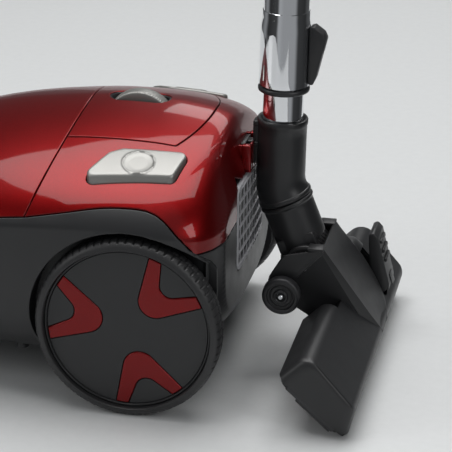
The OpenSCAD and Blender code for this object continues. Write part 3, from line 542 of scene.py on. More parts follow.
def put_panel(name, slot, body, nodes, *args, **kw):
    v, f, n = panel(*args, **kw)
    return make(name, v, f, slot, body, nodes, normals=n)


# ---------------------------------------------------------------- the body's form
NOSE, REAR = -325.0, 68.0
BODY_W, CROWN = 135.0, 216.0
WIDTH_T = [(NOSE, 52), (NOSE + 15, 80), (NOSE + 45, 101), (NOSE + 105, 120), (-130, 129), (-60, 134.5),
           (0, BODY_W),
           (30, BODY_W - 2), (50, BODY_W - 11), (62, BODY_W - 25), (REAR, BODY_W - 42)]
CROWN_T = [(NOSE, 112), (NOSE + 15, 130), (NOSE + 45, 149), (NOSE + 105, 176), (-140, CROWN - 13),
           (-60, CROWN - 1),
           (0, CROWN), (35, CROWN - 4), (52, CROWN - 9), (58, CROWN - 15), (63, CROWN - 31),
           (REAR, CROWN - 50)]
WAIST_T = [(NOSE, 84), (NOSE + 45, 96), (NOSE + 105, 120), (-140, 143), (-60, 152), (0, 153), (REAR, 146)]
BASE_T = [(NOSE, 52), (NOSE + 20, 34), (NOSE + 60, 26), (-150, 24), (-20, 24), (30, 32), (50, 42), (REAR, 60)]
BELT_T = [(NOSE - 20, 78), (NOSE + 45, 86), (NOSE + 105, 110), (-160, 138), (-100, 155), (-60, 158)]
ROOF_P, BELLY_P = 2 / 1.5, 2 / 4
# The height of the middle of each flat end, and the skin length from its edge to that middle
CAP_REAR_Z, CAP_REAR_SPAN, CAP_NOSE_Z, CAP_NOSE_SPAN = 100.0, 93.0, 84.0, 52.0
BELT_Z, LEG_Z, POCKET_R, POCKET_Y, AXLE_Z = 157.5, 136.0, 79.0, 113.0, 73.5
ARCH_T = [(-81, BELT_Z), (-50, 163.5), (-20, 168.5), (8, 169), (20, 166.5), (31, 160), (41, 150), (49, 139.5)]
SEAM, WALL = 0.6, 2.8


def curve(table, x):
    """The same cubic through a short table as the CAD uses."""
    t = np.array(table, float)
    x = np.asarray(x, float)
    i = np.clip(np.searchsorted(t[:, 0], x, side="right") - 1, 0, len(t) - 2)
    lo, hi = np.maximum(np.arange(len(t)) - 1, 0), np.minimum(np.arange(len(t)) + 1, len(t) - 1)
    slope = (t[hi, 1] - t[lo, 1]) / (t[hi, 0] - t[lo, 0])
    h = t[i + 1, 0] - t[i, 0]
    s = (x - t[i, 0]) / h
    return ((2 * s ** 3 - 3 * s ** 2 + 1) * t[i, 1] + (s ** 3 - 2 * s ** 2 + s) * slope[i] * h
            + (3 * s ** 2 - 2 * s ** 3) * t[i + 1, 1] + (s ** 3 - s ** 2) * slope[i + 1] * h)


def ring(x, a):
    """A point of the body's form at station x. a is 90 degrees at the top, 0 on the far waist."""
    ca, sa = np.cos(a), np.sin(a)
    w, zt, zw, zb = (curve(t, x) for t in (WIDTH_T, CROWN_T, WAIST_T, BASE_T))
    p = np.where(sa >= 0, ROOF_P, BELLY_P)
    rise = np.where(sa >= 0, zt - zw, zw - zb)
    y = w * np.sign(ca) * np.abs(ca) ** p
    z = zw + rise * np.sign(sa) * np.abs(sa) ** p
    return y, z


# Arc length round the section above the axle, as the second coordinate of every skin.
_a = np.radians(np.linspace(90, -90, 2001))
_y, _z = ring(np.full_like(_a, -30.0), _a)
ARC = np.concatenate([[0], np.cumsum(np.hypot(np.diff(_y), np.diff(_z)))])
HALF = ARC[-1]


def angle_of(v):
    return np.interp(np.abs(v), ARC, _a)


def arc_of(a):
    return np.interp(-a, -_a, ARC)


def body_point(x, v, below=False):
    """Place of the skin coordinates (x, v). Past the ends of the body the skin folds onto the flat ends.
    v is 0 along the crown, or along the keel when below is set."""
    x, v = np.asarray(x, float), np.asarray(v, float)
    side = np.where(v >= 0, 1.0, -1.0)
    a = angle_of(HALF - np.abs(v)) if below else angle_of(v)
    xc = np.clip(x, NOSE, REAR)
    y, z = ring(xc, a)
    for centre, over in ((CAP_REAR_Z, np.maximum(x - REAR, 0) / CAP_REAR_SPAN),
                         (CAP_NOSE_Z, np.maximum(NOSE - x, 0) / CAP_NOSE_SPAN)):
        z = centre + (z - centre) * (1 - over)
        y = y * (1 - over)
    return np.stack([xc, y * side, z], -1)


def skin(below=False, h=1.1):
    def surf(uv):
        x, v = uv[:, 0], uv[:, 1]
        p = body_point(x, v, below)
        dx = body_point(x + h, v, below) - body_point(x - h, v, below)
        dv = body_point(x, v + h, below) - body_point(x, v - h, below)
        n = np.cross(dx, dv)
        n /= np.maximum(np.linalg.norm(n, axis=1, keepdims=True), 1e-9)
        core = np.c_[np.clip(p[:, 0], NOSE + 60, REAR - 60), np.zeros(len(p)), np.full(len(p), 110.0)]
        n *= np.sign(np.sum(n * (p - core), axis=1, keepdims=True) + 1e-9)
        return p, n
    return surf


def v_at_y(x, y):
    """Skin coordinate of a point of the roof given in plan."""
    w = curve(WIDTH_T, np.clip(x, NOSE, REAR))
    return np.sign(y) * arc_of(np.arccos(np.clip(np.abs(y) / w, 0, 1) ** (1 / ROOF_P)))


def v_at_z(x, z):
    """Skin coordinate, from the crown, of a point of the far flank given in side view."""
    xc = np.clip(x, NOSE, REAR)
    zt, zw, zb = (curve(t, xc) for t in (CROWN_T, WAIST_T, BASE_T))
    up = z >= zw
    f = np.where(up, (z - zw) / (zt - zw), (zw - z) / (zw - zb))
    a = np.arcsin(np.clip(f, 0, 1) ** (1 / np.where(up, ROOF_P, BELLY_P)))
    return arc_of(np.where(up, a, -a))


def cap_uv(y, z, rear=True):
    """Skin coordinates of a point (y, z) of a flat end."""
    cz, span, x = (CAP_REAR_Z, CAP_REAR_SPAN, REAR) if rear else (CAP_NOSE_Z, CAP_NOSE_SPAN, NOSE)
    a = np.radians(np.linspace(90, -90, 4001))
    ry, rz = ring(np.full_like(a, x), a)
    th = np.arctan2(rz - cz, ry)
    want = math.atan2(z - cz, abs(y))
    i = int(np.argmin(np.abs(th - want)))
    r = math.hypot(ry[i], rz[i] - cz)
    k = math.hypot(y, z - cz) / r
    v = float(arc_of(a[i])) * (1 if y >= 0 else -1)
    e = (1 - k) * span
    return np.array([x + e if rear else x - e, v])


def gap_x(z):
    return -66 - 0.357 * (200 - z)


def gap_curve(shift, v_max, n=60):
    """The skin points on the sloping gap between the covers, from -v_max to v_max."""
    out = []
    for v in np.linspace(-v_max, v_max, n):
        x = -70.0
        for _ in range(30):
            x = gap_x(float(body_point(x, v)[2])) + shift
        out.append((x, v))
    return out


def lid_outline(d=0.0):
    """Plan outline of the top panel, from its near front corner round the back to the far front corner."""
    r, half, cx = 118 + d, 63 + d, -78
    a = math.asin(half / r)
    corner = [(cx + r * math.cos(t), r * math.sin(t)) for t in np.linspace(-a, a, 41)]
    pts = [(-100, -half)] + corner + [(-100, half)]
    return rounded(pts, [0, 14] + [0] * 39 + [14, 0], 6, closed=False)


def plan_to_skin(pts, gap_shift):
    """A plan outline, cut off by the sloping gap, in skin coordinates."""
    out = []
    for x, y in pts:
        v = float(v_at_y(x, y))
        z = float(body_point(x, v)[2])
        gx = gap_x(z) + gap_shift
        if x < gx:
            for _ in range(20):
                v = float(v_at_y(gx, y))
                gx = gap_x(float(body_point(gx, v)[2])) + gap_shift
            x = gx
        out.append((x, v))
    return out


def skin_grid(x0, x1, step=3.4):
    return point_grid(x0, x1, -HALF, HALF, step)


def on_roof(p, drop):
    """A point drop below the roof, from its place in plan."""
    x, y = p
    return np.array([x, y, float(body_point(x, float(v_at_y(x, y)))[2]) - drop])


# ---------------------------------------------------------------- pedals' shape, shared with the recesses
PEDAL_PTS = [(-33, -103), (-23, -85), (-15, -80), (28, -75.5), (24, -94), (-20, -101)]
PEDAL_TOP = np.array([-25.0, -75.0, 200.0])


def offset_poly(pts, d, seg=5):
    """The outline grown by d, its corners rounded by d."""
    pts = np.asarray(pts, float)
    if signed_area(pts) < 0:
        pts = pts[::-1]
    out = []
    for i, p in enumerate(pts):
        a, b = pts[i - 1], pts[(i + 1) % len(pts)]
        e0, e1 = p - a, b - p
        n0 = np.array([e0[1], -e0[0]]) / np.linalg.norm(e0)
        n1 = np.array([e1[1], -e1[0]]) / np.linalg.norm(e1)
        turn = e0[0] * e1[1] - e0[1] * e1[0]
        if turn > 0:
            a0 = math.atan2(n0[1], n0[0])
            da = (math.atan2(n1[1], n1[0]) - a0 + math.pi) % (2 * math.pi) - math.pi
            out += [p + d * np.array([math.cos(a0 + da * k / seg),
                                      math.sin(a0 + da * k / seg)]) for k in range(seg + 1)]
        else:
            m = n0 + n1
            m /= np.linalg.norm(m)
            out.append(p + m * d / max(0.5, np.dot(m, n0)))
    return np.array(out)


# The unit normal of the near pedal's top face, which is turned 21 degrees about X and then 3 about Y
PED_RX, PED_RY = math.radians(21), math.radians(3)
PED_N = np.array([math.cos(PED_RX) * math.sin(PED_RY), -math.sin(PED_RX),
                  math.cos(PED_RX) * math.cos(PED_RY)])


def pedal_z(x, y, d=0.0):
    return PEDAL_TOP[2] - d - (PED_N[0] * (x - PEDAL_TOP[0]) + PED_N[1] * (y - PEDAL_TOP[1])) / PED_N[2]


# ---------------------------------------------------------------- red rear shell
ARCH_X = np.concatenate([np.linspace(gap_x(BELT_Z) + 4, 20, 16), np.linspace(23, 49, 10)])


def rear_shell_outline():
    lid = plan_to_skin(lid_outline(SEAM), SEAM)
    flank = [(gap_x(BELT_Z) + SEAM, BELT_Z)] + [(x, float(curve(ARCH_T, x))) for x in ARCH_X]
    flank += [(50, 137.2), (52, LEG_Z), (67.9, LEG_Z)]
    far = [(x, float(v_at_z(x, z))) for x, z in flank]
    y_leg, v0 = float(body_point(REAR, far[-1][1])[1]), far[0][1]
    leg, sides = LEG_Z + 0.05, np.linspace(LEG_Z + 4, 158, 6)
    # the rear face: in to the grille, up its far side, over the top, down its near side and out again
    rear = [(y, leg) for y in np.linspace(y_leg, 60, 12)[1:]] + [(53.2, leg)]
    rear += [(52.6, z) for z in sides] + [(y, 163.6) for y in np.linspace(47, -43, 24)]
    rear += [(-48.6, z) for z in sides[::-1]] + [(-49.2, leg)]
    rear += [(y, leg) for y in np.linspace(-56, -y_leg, 12)[:-1]]
    near = [(x, -v) for x, v in far[::-1]]
    gap = gap_curve(SEAM, v0, 90)
    return np.array([q for q in gap if q[1] > lid[-1][1] + 0.5] + far[1:] + [tuple(cap_uv(y, z)) for y,
            z in rear]
                    + near[:-1] + [q for q in gap if q[1] < lid[0][1] - 0.5] + list(lid))


def pedal_hole(side):
    o = offset_poly(PEDAL_PTS, 5 + SEAM + 0.2)
    return np.array([(x, float(v_at_y(x, -side * y))) for x, y in o])


put_panel("rear_shell_skin", RED, "body", ["rear_shell"], rear_shell_outline(),
          [pedal_hole(-1), pedal_hole(1)],
          skin(), WALL, skin_grid(-110, 110), step=3.2)


def recess(side, name):
    """The red cup that each pedal sinks into: a wall down from the skin and a sloping floor."""
    o, o2 = (offset_poly(PEDAL_PTS, 5 + SEAM + d, 6) for d in (0.1, 2.3))
    n, floor_d = len(o), 19.0
    verts = [on_roof(p, 0.9) for p in (*o2, *o)]
    verts += [(x, y, pedal_z(x, y, d)) for row, d in ((o, floor_d), (o2, floor_d + 2.4)) for x, y in row]
    faces = ring_faces(3, n, close_v=False) + [tuple(range(2 * n, 3 * n)),
                                               tuple(range(4 * n - 1, 3 * n - 1, -1))]
    faces += [(3 * n + k, 3 * n + (k + 1) % n, (k + 1) % n, k) for k in range(n)]
    Soup().add(np.array(verts) * [1, -side, 1], faces, flip=side > 0).done(name, RED, "body", sharp=25)


recess(-1, "pedal_recess_near")
recess(1, "pedal_recess_far")


# ---------------------------------------------------------------- top panel with the dial's slot
DIAL = np.array([-22.0, 0.0, 192.0])


def slot_outline(d=0.0, half=14.0, r=11.0):
    return np.array([(DIAL[0] + s * half + (r + d) * math.cos(a), (r + d) * math.sin(a))
                     for s in (1, -1) for a in [-s * math.pi / 2 + math.pi * k / 23 for k in range(24)]])


lid_uv = list(plan_to_skin(lid_outline(0), SEAM))
lid_front = gap_curve(SEAM, abs(lid_uv[0][1]), 60)[1:-1]
put_panel("lid_skin", RED, "body", ["lid_panel"], np.array(lid_uv + lid_front[::-1]),
          [np.array([(x, float(v_at_y(x, y))) for x, y in slot_outline()])], skin(), WALL,
          skin_grid(-110, 60), step=3.2)

# The dark well round the dial, as rings of (margin of the slot, depth below the roof), and the dial itself
WELL = ((-0.05, 0.9), (-0.7, 0.7), (-1.5, 1.6), (-1.5, 6.5), (-0.05, 6.5))
Soup().add([on_roof(p, drop) for d, drop in WELL for p in slot_outline(d)],
           ring_faces(len(WELL), 48, flip=True)
           ).done("dial_well", BLK, "body")


def dial_wheel():
    r, w, lip, teeth = 29.0, 13.0, 1.2, 90
    prof = [(3.05, -w / 2 + 1), (3.3, -w / 2), (r - 3.5, -w / 2)]
    prof += [(r - lip + lip * math.cos(t), -w / 2 + lip - lip * math.sin(t)) for t in np.linspace(math.pi / 2,
            0, 4)]
    prof += [(r, -w / 6), (r, w / 6)]
    prof += [(r - lip + lip * math.cos(t), w / 2 - lip + lip * math.sin(t)) for t in np.linspace(0,
            math.pi / 2, 4)]
    prof += [(r - 3.5, w / 2), (3.3, w / 2), (3.05, w / 2 - 1)]

    def knurl(rr, h, a):
        edge = max(0.0, min(1.0, (rr - (r - 2.5)) / 1.5)) * (1 if abs(h) > w / 2 - 3.2 else 0)
        return rr - 0.35 * edge * (0.5 + 0.5 * math.cos(teeth * a)) ** 2
    return lathe(prof, DIAL, (0, 1, 0), teeth * 8, knurl)


make("dial_wheel", *dial_wheel(), SILVER, "dial", ["power_dial"])


# ---------------------------------------------------------------- pedals
def pedal(side, name, body, node):
    """A foot pedal with a soft crown and a shallow raised ring, and the stem below it."""
    crown_at, crown_r, crown_h, ring_at = (0.0, -89.0), (34, 17), 0.7, (-1.0, -89.5)

    def surf(uv):
        x, y = uv[:, 0], uv[:, 1]
        u, w = (x - crown_at[0]) / crown_r[0], (y - crown_at[1]) / crown_r[1]
        n = PED_N + 2 * crown_h * np.stack([u / crown_r[0], w / crown_r[1], np.zeros_like(u)], 1)
        n /= np.linalg.norm(n, axis=1, keepdims=True)
        return np.stack([x, y, pedal_z(x, y) + crown_h * (1 - u * u - w * w)], 1), n

    def ring_lift(uv):
        d = np.hypot((uv[:, 0] - ring_at[0]), (uv[:, 1] - ring_at[1]) * 1.06)
        g = np.clip(1 - np.abs(d - 12.3) / 1.3, 0, 1)
        dish = np.clip(1 - d / 11.2, 0, 1)
        return 0.75 * g * g * (3 - 2 * g) - 0.5 * np.minimum(1, dish * 3)
    v, f, _ = panel(offset_poly(PEDAL_PTS, 5, 7), [], surf, 10.5, point_grid(-45, 40, -112, -66, 0.85, 0),
                    edge=1.9, step=0.9, rim=1.2, down=(0, 0, -1), lift=ring_lift)
    Soup().add(v * [1, -side, 1], f, flip=side > 0).done(name, SILVER, body, [node], sharp=50)
    stem = Soup()
    for top, r in ((188, 5), (161, 9)):
        stem.add(*rod((0, side * 88, 158), (0, side * 88, top), r))
    stem.done(name + "_stem", BLK, body)


pedal(-1, "pedal_near", "pedal_switch", "switch_pedal")
pedal(1, "pedal_far", "pedal_rewind", "rewind_pedal")


# ---------------------------------------------------------------- hinged front cover
def belt_flank(drop):
    xs = np.append(np.linspace(NOSE + 0.5, -100, 40), gap_x(BELT_Z))
    z = np.where(xs < -60, curve(BELT_T, xs), BELT_Z) - drop
    z[-1] = BELT_Z - drop
    return [(x, float(v_at_z(x, zz))) for x, zz in zip(xs, z)]


INLET = np.array([-262.0, 0.0, 150.0])
TILT = math.radians(32)
INLET_N = np.array([-math.sin(TILT), 0, math.cos(TILT)])


def on_body_along(p, d):
    """Where a line from p along d leaves the roof, as skin coordinates."""
    lo, hi = -60.0, 90.0
    for _ in range(50):
        m = (lo + hi) / 2
        q = p + d * m
        x = np.clip(q[0], NOSE, REAR)
        w, zt, zw = curve(WIDTH_T, x), curve(CROWN_T, x), curve(WAIST_T, x)
        inside_body = q[2] < zw + (zt - zw) * max(0.0, 1 - (abs(q[1]) / w) ** 1.5) ** (2 / 3)
        lo, hi = (m, hi) if inside_body else (lo, m)
    q = p + d * lo
    return (q[0], float(v_at_y(q[0], q[1])))


def inlet_circle(r, n=72):
    u, v, _ = basis(INLET_N, (0, 1, 0))
    return np.array([on_body_along(INLET + r * (math.cos(t) * u + math.sin(t) * v), INLET_N)
                     for t in np.linspace(0, 2 * math.pi, n, endpoint=False)])


cov_far = belt_flank(0)
nose_z = float(curve(BELT_T, NOSE + 0.5))
y_n = float(body_point(NOSE, cov_far[0][1])[1])
nose_edge = [tuple(cap_uv(y, nose_z, rear=False)) for y in np.linspace(y_n, -y_n, 30)[1:-1]]
front_gap = gap_curve(0.0, cov_far[-1][1], 120)
cover_outline = np.array(cov_far[:-1] + [front_gap[-1]] + front_gap[::-1][1:-1]
                         + [(x, -v) for x, v in cov_far[::-1]] + nose_edge[::-1])
LATCH_HOLE = [(-15.6, 98.3), (-8, 98.3), (0, 98.3), (8, 98.3), (15.6, 98.3), (15.6, 107.5), (8, 109.3),
              (0, 110),
              (-8, 109.3), (-15.6, 107.5)]
latch_hole = np.array([cap_uv(y, z, rear=False) for y, z in LATCH_HOLE])
put_panel("front_cover_skin", RED, "cover", ["front_cover"], cover_outline, [inlet_circle(22.6), latch_hole],
          skin(), WALL, skin_grid(NOSE - 40, -60, 3.6), step=3.6)


# ---------------------------------------------------------------- lower chassis
TYRE_R, TYRE_W, WHEEL_OUT, DISC_R = 73.5, 23.0, 138.5, 66.0


def chassis_outline():
    """Skin outline of the chassis, measured from the keel."""
    def ends(points, rear=True):
        """Points (y, z) of a flat end of the body."""
        return [(x, (HALF - abs(v)) * (1 if y >= 0 else -1)) for y, (x, v) in
                [(y, cap_uv(y, z, rear)) for y, z in points]]
    top = LEG_Z - SEAM
    far = [(x, HALF - v) for x, v in belt_flank(SEAM)]
    far += [(x - (0.5 if x > 30 else 0.0), HALF - float(v_at_z(x,
                                                               float(curve(ARCH_T,
                                                                       x)) - SEAM))) for x in ARCH_X]
    far += [(x, HALF - float(v_at_z(x, top))) for x in (51, REAR - 0.1)]
    y_leg = float(body_point(REAR, float(v_at_z(REAR, top)))[1])
    rear = [(y, top) for y in np.linspace(y_leg, 54.5, 10)[1:]] + [(52.7, z) for z in np.linspace(LEG_Z - 4,
            98, 8)]
    rear += [(y, 90.2) for y in np.linspace(47, -43, 26)] + [(-48.7, z) for z in np.linspace(98, LEG_Z - 4,
            8)]
    rear += [(y, top) for y in np.linspace(-50.5, -y_leg, 10)[:-1]]
    z_nose = float(curve(BELT_T, NOSE + 0.5)) - SEAM
    y_nose = float(body_point(NOSE, v_at_z(NOSE + 0.5, z_nose))[1])
    nose = [(y, z_nose) for y in np.linspace(-y_nose, y_nose, 40)[1:-1]]
    return np.array(far + ends(rear) + [(x, -v) for x, v in far[::-1]] + ends(nose, rear=False))


def keel_v(x, y):
    """Keel coordinate of a point of the belly given in plan."""
    w = float(curve(WIDTH_T, np.clip(x, NOSE, REAR)))
    a = -math.acos(min(1.0, (abs(y) / w) ** (1 / BELLY_P)))
    return (HALF - float(arc_of(a))) * (1 if y >= 0 else -1)


def well_hole(side):
    """The opening of a wheel pocket in the skin."""
    pts = []
    for t in np.radians(np.linspace(-60, 240, 121)):
        x, z = POCKET_R * math.cos(t), AXLE_Z + POCKET_R * math.sin(t)
        if z < 27 or x > REAR - 1.5:
            continue
        v = float(v_at_z(x, z))
        y = float(body_point(x, v)[1])
        if y > POCKET_Y + 1:
            pts.append((x, HALF - v))
    x0, x1 = pts[0][0], pts[-1][0]
    low = [(x, keel_v(x, POCKET_Y + 0.2 - 0.9 * max(0.0, x - 42))) for x in np.linspace(x1 + 1, x0 - 1, 34)]
    return np.array(pts + low) * [1, side]


CASTOR = np.array([-235.0, 0, 0])


castor_hole = np.array([(CASTOR[0] + 36 * math.cos(t), keel_v(CASTOR[0] + 36 * math.cos(t), 36 * math.sin(t)))
                        for t in np.linspace(0, 2 * math.pi, 64, endpoint=False)])
put_panel("chassis_skin", CHAR, "body", ["lower_chassis"], chassis_outline(),
          [well_hole(1), well_hole(-1), castor_hole], skin(below=True), 3.0,
          skin_grid(NOSE - 45, REAR + 92, 3.6),
          step=3.6)


# Behind the tyre the pocket's wall is drawn in, so that it doesn't show past the tread
TUCKED_R = 67.0


def wheel_well(side):
    """The drum-shaped inside of a wheel pocket, with its back wall and the boss of the stub axle."""
    s = Soup()
    n, open_at = 96, math.radians(-2)
    rings = [[], [], [], []]
    for t in np.linspace(math.radians(-35.5), math.radians(215.5), n):
        r = POCKET_R if t > open_at else TUCKED_R
        x, z = r * math.cos(t), AXLE_Z + r * math.sin(t)
        xx, y = min(x, REAR - 2), POCKET_Y + 0.5
        if t > open_at:
            y = max(y, float(body_point(xx, float(v_at_z(np.clip(xx, NOSE, REAR), max(z, 26))))[1]) - 0.8)
        k = (POCKET_R + 2.6) / POCKET_R
        xx2, z2 = min(x * k, REAR - 2), AXLE_Z + (z - AXLE_Z) * k
        for row, p in zip(rings, ((xx, POCKET_Y, z), (xx, y, z), (xx2, y, z2), (xx2, POCKET_Y - 2.5, z2))):
            row.append(p)
    faces = [(i * n + k, i * n + k + 1, (i + 1) * n + k + 1,
              (i + 1) * n + k) for i in range(3) for k in range(n - 1)]
    faces += [tuple(range(n - 1, -1, -1)), tuple(range(3 * n, 4 * n))]
    s.add(np.vstack(rings) * [1, side, 1], faces, flip=side < 0)
    s.add(*lathe([(6.05, 0), (10, 0), (11, -1), (11, -16), (6.05, -16)], (0, side * (POCKET_Y - 0.5), AXLE_Z),
                 (0, side, 0), 48))
    for t in range(0, 360, 60):
        d = np.array([math.cos(math.radians(t)), 0, math.sin(math.radians(t))])
        c = np.array([0, side * (POCKET_Y + 0.4), AXLE_Z])
        u = np.cross(d, [0, 1, 0])
        o = np.array([(14, -1.2), (64, -1.2), (64, 1.2), (14, 1.2)])
        pts = [c + d * a + u * b + np.array([0, side * h, 0]) for h in (-1.2, 0.5) for a, b in o]
        if c[2] + d[2] * 64 < 26:
            continue
        s.add(pts, [(0, 1, 2, 3), (7, 6, 5, 4), (0, 4, 5, 1), (1, 5, 6, 2), (2, 6, 7, 3), (3, 7, 4, 0)])
    return s


for side, tag in ((-1, "near"), (1, "far")):
    wheel_well(side).done("wheel_well_" + tag, CHAR, "body")

pocket = Soup()
pocket.add(*lathe([(4.05, 46), (36, 46), (36, 25.5), (38.8, 25.5), (38.8, 49), (10, 49), (10, 66),
                   (4.05, 66)], CASTOR, (0, 0, 1), 96))
for side in (-1, 1):
    for x, y0, y1, z0, z1 in ((14, 96, 112, 106, 112), (10, 81, 99, 106, 136)):
        a, b = (-x, min(side * y0, side * y1), z0), (x, max(side * y0, side * y1), z1)
        pocket.add(*block(a, b, 1.0))
    for x, y in ((-190, 78), (-100, 84), (28, 84)):
        pocket.add(*lathe([(2.25, 28.5), (3.9, 28.5), (3.9, 25), (4.6, 25), (5, 25.4), (5, 48.5), (4.5, 49),
                           (2.25, 49)], (x, side * y, 0), (0, 0, 1), 40))
for x in (-81, 6):
    o = [(-78, 25), (2, 25), (2, 75)] + [(-38 + 47.1 * math.cos(t),
                                          92 + 47.1 * math.sin(t)) for t in np.linspace(math.radians(-21),
                                                  math.radians(-159), 30)] + [(-78, 75)]
    pocket.add(*slab(o, lambda p, x=x: np.array([x + p[2], p[0], p[1]]), 0, 7, 0.5))
pocket.add(*block((-38, 68, 25), (-14, 72, 118), 1.0))
pocket.done("chassis_inside", CHAR, "body")


# ---------------------------------------------------------------- rear wheels
def tyre(side):
    """A rubber tyre with a round section, a groove round the middle of the tread and cross cuts in the tread."""
    w0 = WHEEL_OUT - TYRE_W
    c = 7.0
    prof = [(DISC_R, 1.5)]
    prof += [(TYRE_R - c + c * math.cos(a), c + c * math.sin(a)) for a in np.radians(np.arange(-88, 1, 8))]
    prof += [(TYRE_R, y) for y in np.linspace(c + 1.5, TYRE_W - c - 1.5, 7)]
    prof += [(TYRE_R - c + c * math.cos(a), TYRE_W - c + c * math.sin(a)) for a in np.radians(np.arange(0, 89,
            8))]
    prof += [(DISC_R + 0.4, TYRE_W - 0.5), (DISC_R + 0.1, TYRE_W - 1.0), (DISC_R, TYRE_W - 1.5)]
    cuts = 72

    def warp(r, h, a):
        t = max(0.0, min(1.0, (r - (TYRE_R - 2.2)) / 1.6))
        lane = 0.5 if h > TYRE_W / 2 else 0.0
        ph = (a / (2 * math.pi) * cuts + lane) % 1.0
        g = max(0.0, 1 - abs(ph - 0.5) / 0.16)
        rib = max(0.0, 1 - abs(h - TYRE_W / 2) / 0.9)
        return r - t * 0.9 * min(1.0, 1.6 * g) - 0.8 * min(1.0, 1.5 * rib) * t
    seg = 72 * 12
    return lathe(prof, (0, side * w0, AXLE_Z), (0, side, 0), seg, warp)


INSERT_BISECTORS = (-72.3, 47.7, 167.7)


def insert_outline(turn, grow=0.0):
    """A red insert: two arcs on the disc's rim joined by a wide bend outside and a narrow one inside."""
    rim, p = DISC_R - 2.5, []
    for cx, r, a0, a1, n in ((0, rim, 17, 26, 6), (33.3, 13.3, 118, 242, 24), (0, rim, -26, -17, 6),
                             (52.4, 9.6, 232, 128, 20)):
        angles = [math.radians(a0 + (a1 - a0) * i / n) for i in range(n + 1)]
        p += [(cx + r * math.cos(a), r * math.sin(a)) for a in angles]
    p = rounded(p, [0.7 if i in (0, 6, 32, 38) else 0 for i in range(len(p))], 3)
    if grow:
        p = offset_poly(p, grow, 2)
    t = math.radians(turn)
    return np.c_[p[:, 0] * math.cos(t) - p[:, 1] * math.sin(t), p[:, 0] * math.sin(t) + p[:, 1] * math.cos(t)]


DISC_FACE = WHEEL_OUT - 5


def flat(side, level, crown=0.0, radius=70.0):
    """A face of the wheel, slightly crowned, as a surface for panel."""
    def surf(uv):
        r2 = np.sum(uv ** 2, axis=1)
        h = level + crown * (1 - r2 / radius ** 2)
        p = np.stack([uv[:, 0], side * h, AXLE_Z + uv[:, 1]], 1)
        n = np.stack([2 * crown * uv[:, 0] / radius ** 2, np.full(len(uv), float(side)),
                      2 * crown * uv[:, 1] / radius ** 2], 1)
        return p, n / np.linalg.norm(n, axis=1, keepdims=True)
    return surf


def circle(r, n):
    return np.array([(r * math.cos(t), r * math.sin(t)) for t in np.linspace(0, 2 * math.pi, n,
            endpoint=False)])


def dot_grid(r, step):
    return point_grid(-r, r + step, -r, r + step, step)


for side, tag, word in ((-1, "near", "left"), (1, "far", "right")):
    body, D, B = "wheel_" + word, DISC_FACE, POCKET_Y
    make("tyre_" + tag, *tyre(side), "tyre_rubber", body, ["tyre_" + word], sharp=60)
    put_panel("disc_face_" + tag, CHAR, body, ["wheel_disc_" + word], circle(DISC_R - 2.5, 160),
              [insert_outline(b, 0.35) for b in INSERT_BISECTORS], flat(side, D - 0.6, 0.6), 7.0,
              dot_grid(64, 4), edge=0.5, step=4, rim=1.2)
    rim = Soup()
    # a narrow ring between two grooves and the seat of the tyre, then the hub
    for seg, r0, prof in ((192, DISC_R, [(-2.45, D - 6), (-2.45, D - 1.2), (-2.2, D - 0.9), (-2.0, D + 0.3),
                                         (-1.7, D + 0.7),
                                         (-0.9, D + 0.7), (-0.6, D + 0.3), (-0.4, D - 0.9), (0, D - 1.2),
                                         (0, B + 4), (-4, B + 4), (-4, D - 8), (-2.45, D - 8)]),
                          (64, 0, [(6.05, B + 1.5), (12.4, B + 1.5), (13, B + 2.1), (13, D - 7.2),
                                   (6.05, D - 7.2)])):
        rim.add(*lathe([(r0 + r, h) for r, h in prof], (0, 0, AXLE_Z), (0, side, 0), seg))
    for b in INSERT_BISECTORS:
        # the floor of each recess
        rim.add(*slab(insert_outline(b, 0.9), lambda p: np.array([p[0], side * p[2], AXLE_Z + p[1]]),
                      D - 7.6, D - 3.2, 0.2, 1), flip=side < 0)
    rim.done("disc_rim_" + tag, CHAR, body)
    for i, b in enumerate(INSERT_BISECTORS):
        put_panel("insert_%s_%d" % (tag, i), RED, body, ["wheel_inserts_" + word], insert_outline(b), [],
                  flat(side, D + 0.1, 0.5), 3.2, dot_grid(66, 2.4), edge=1.15, step=2.4, rim=1.0)


# ---------------------------------------------------------------- the parked wand
LEAN = math.radians(0.8)
WAND_N = np.array([math.sin(LEAN), 0, math.cos(LEAN)])


def wand_at(z):
    return np.array([93.8 + (z - 200) * math.tan(LEAN), 0, z])


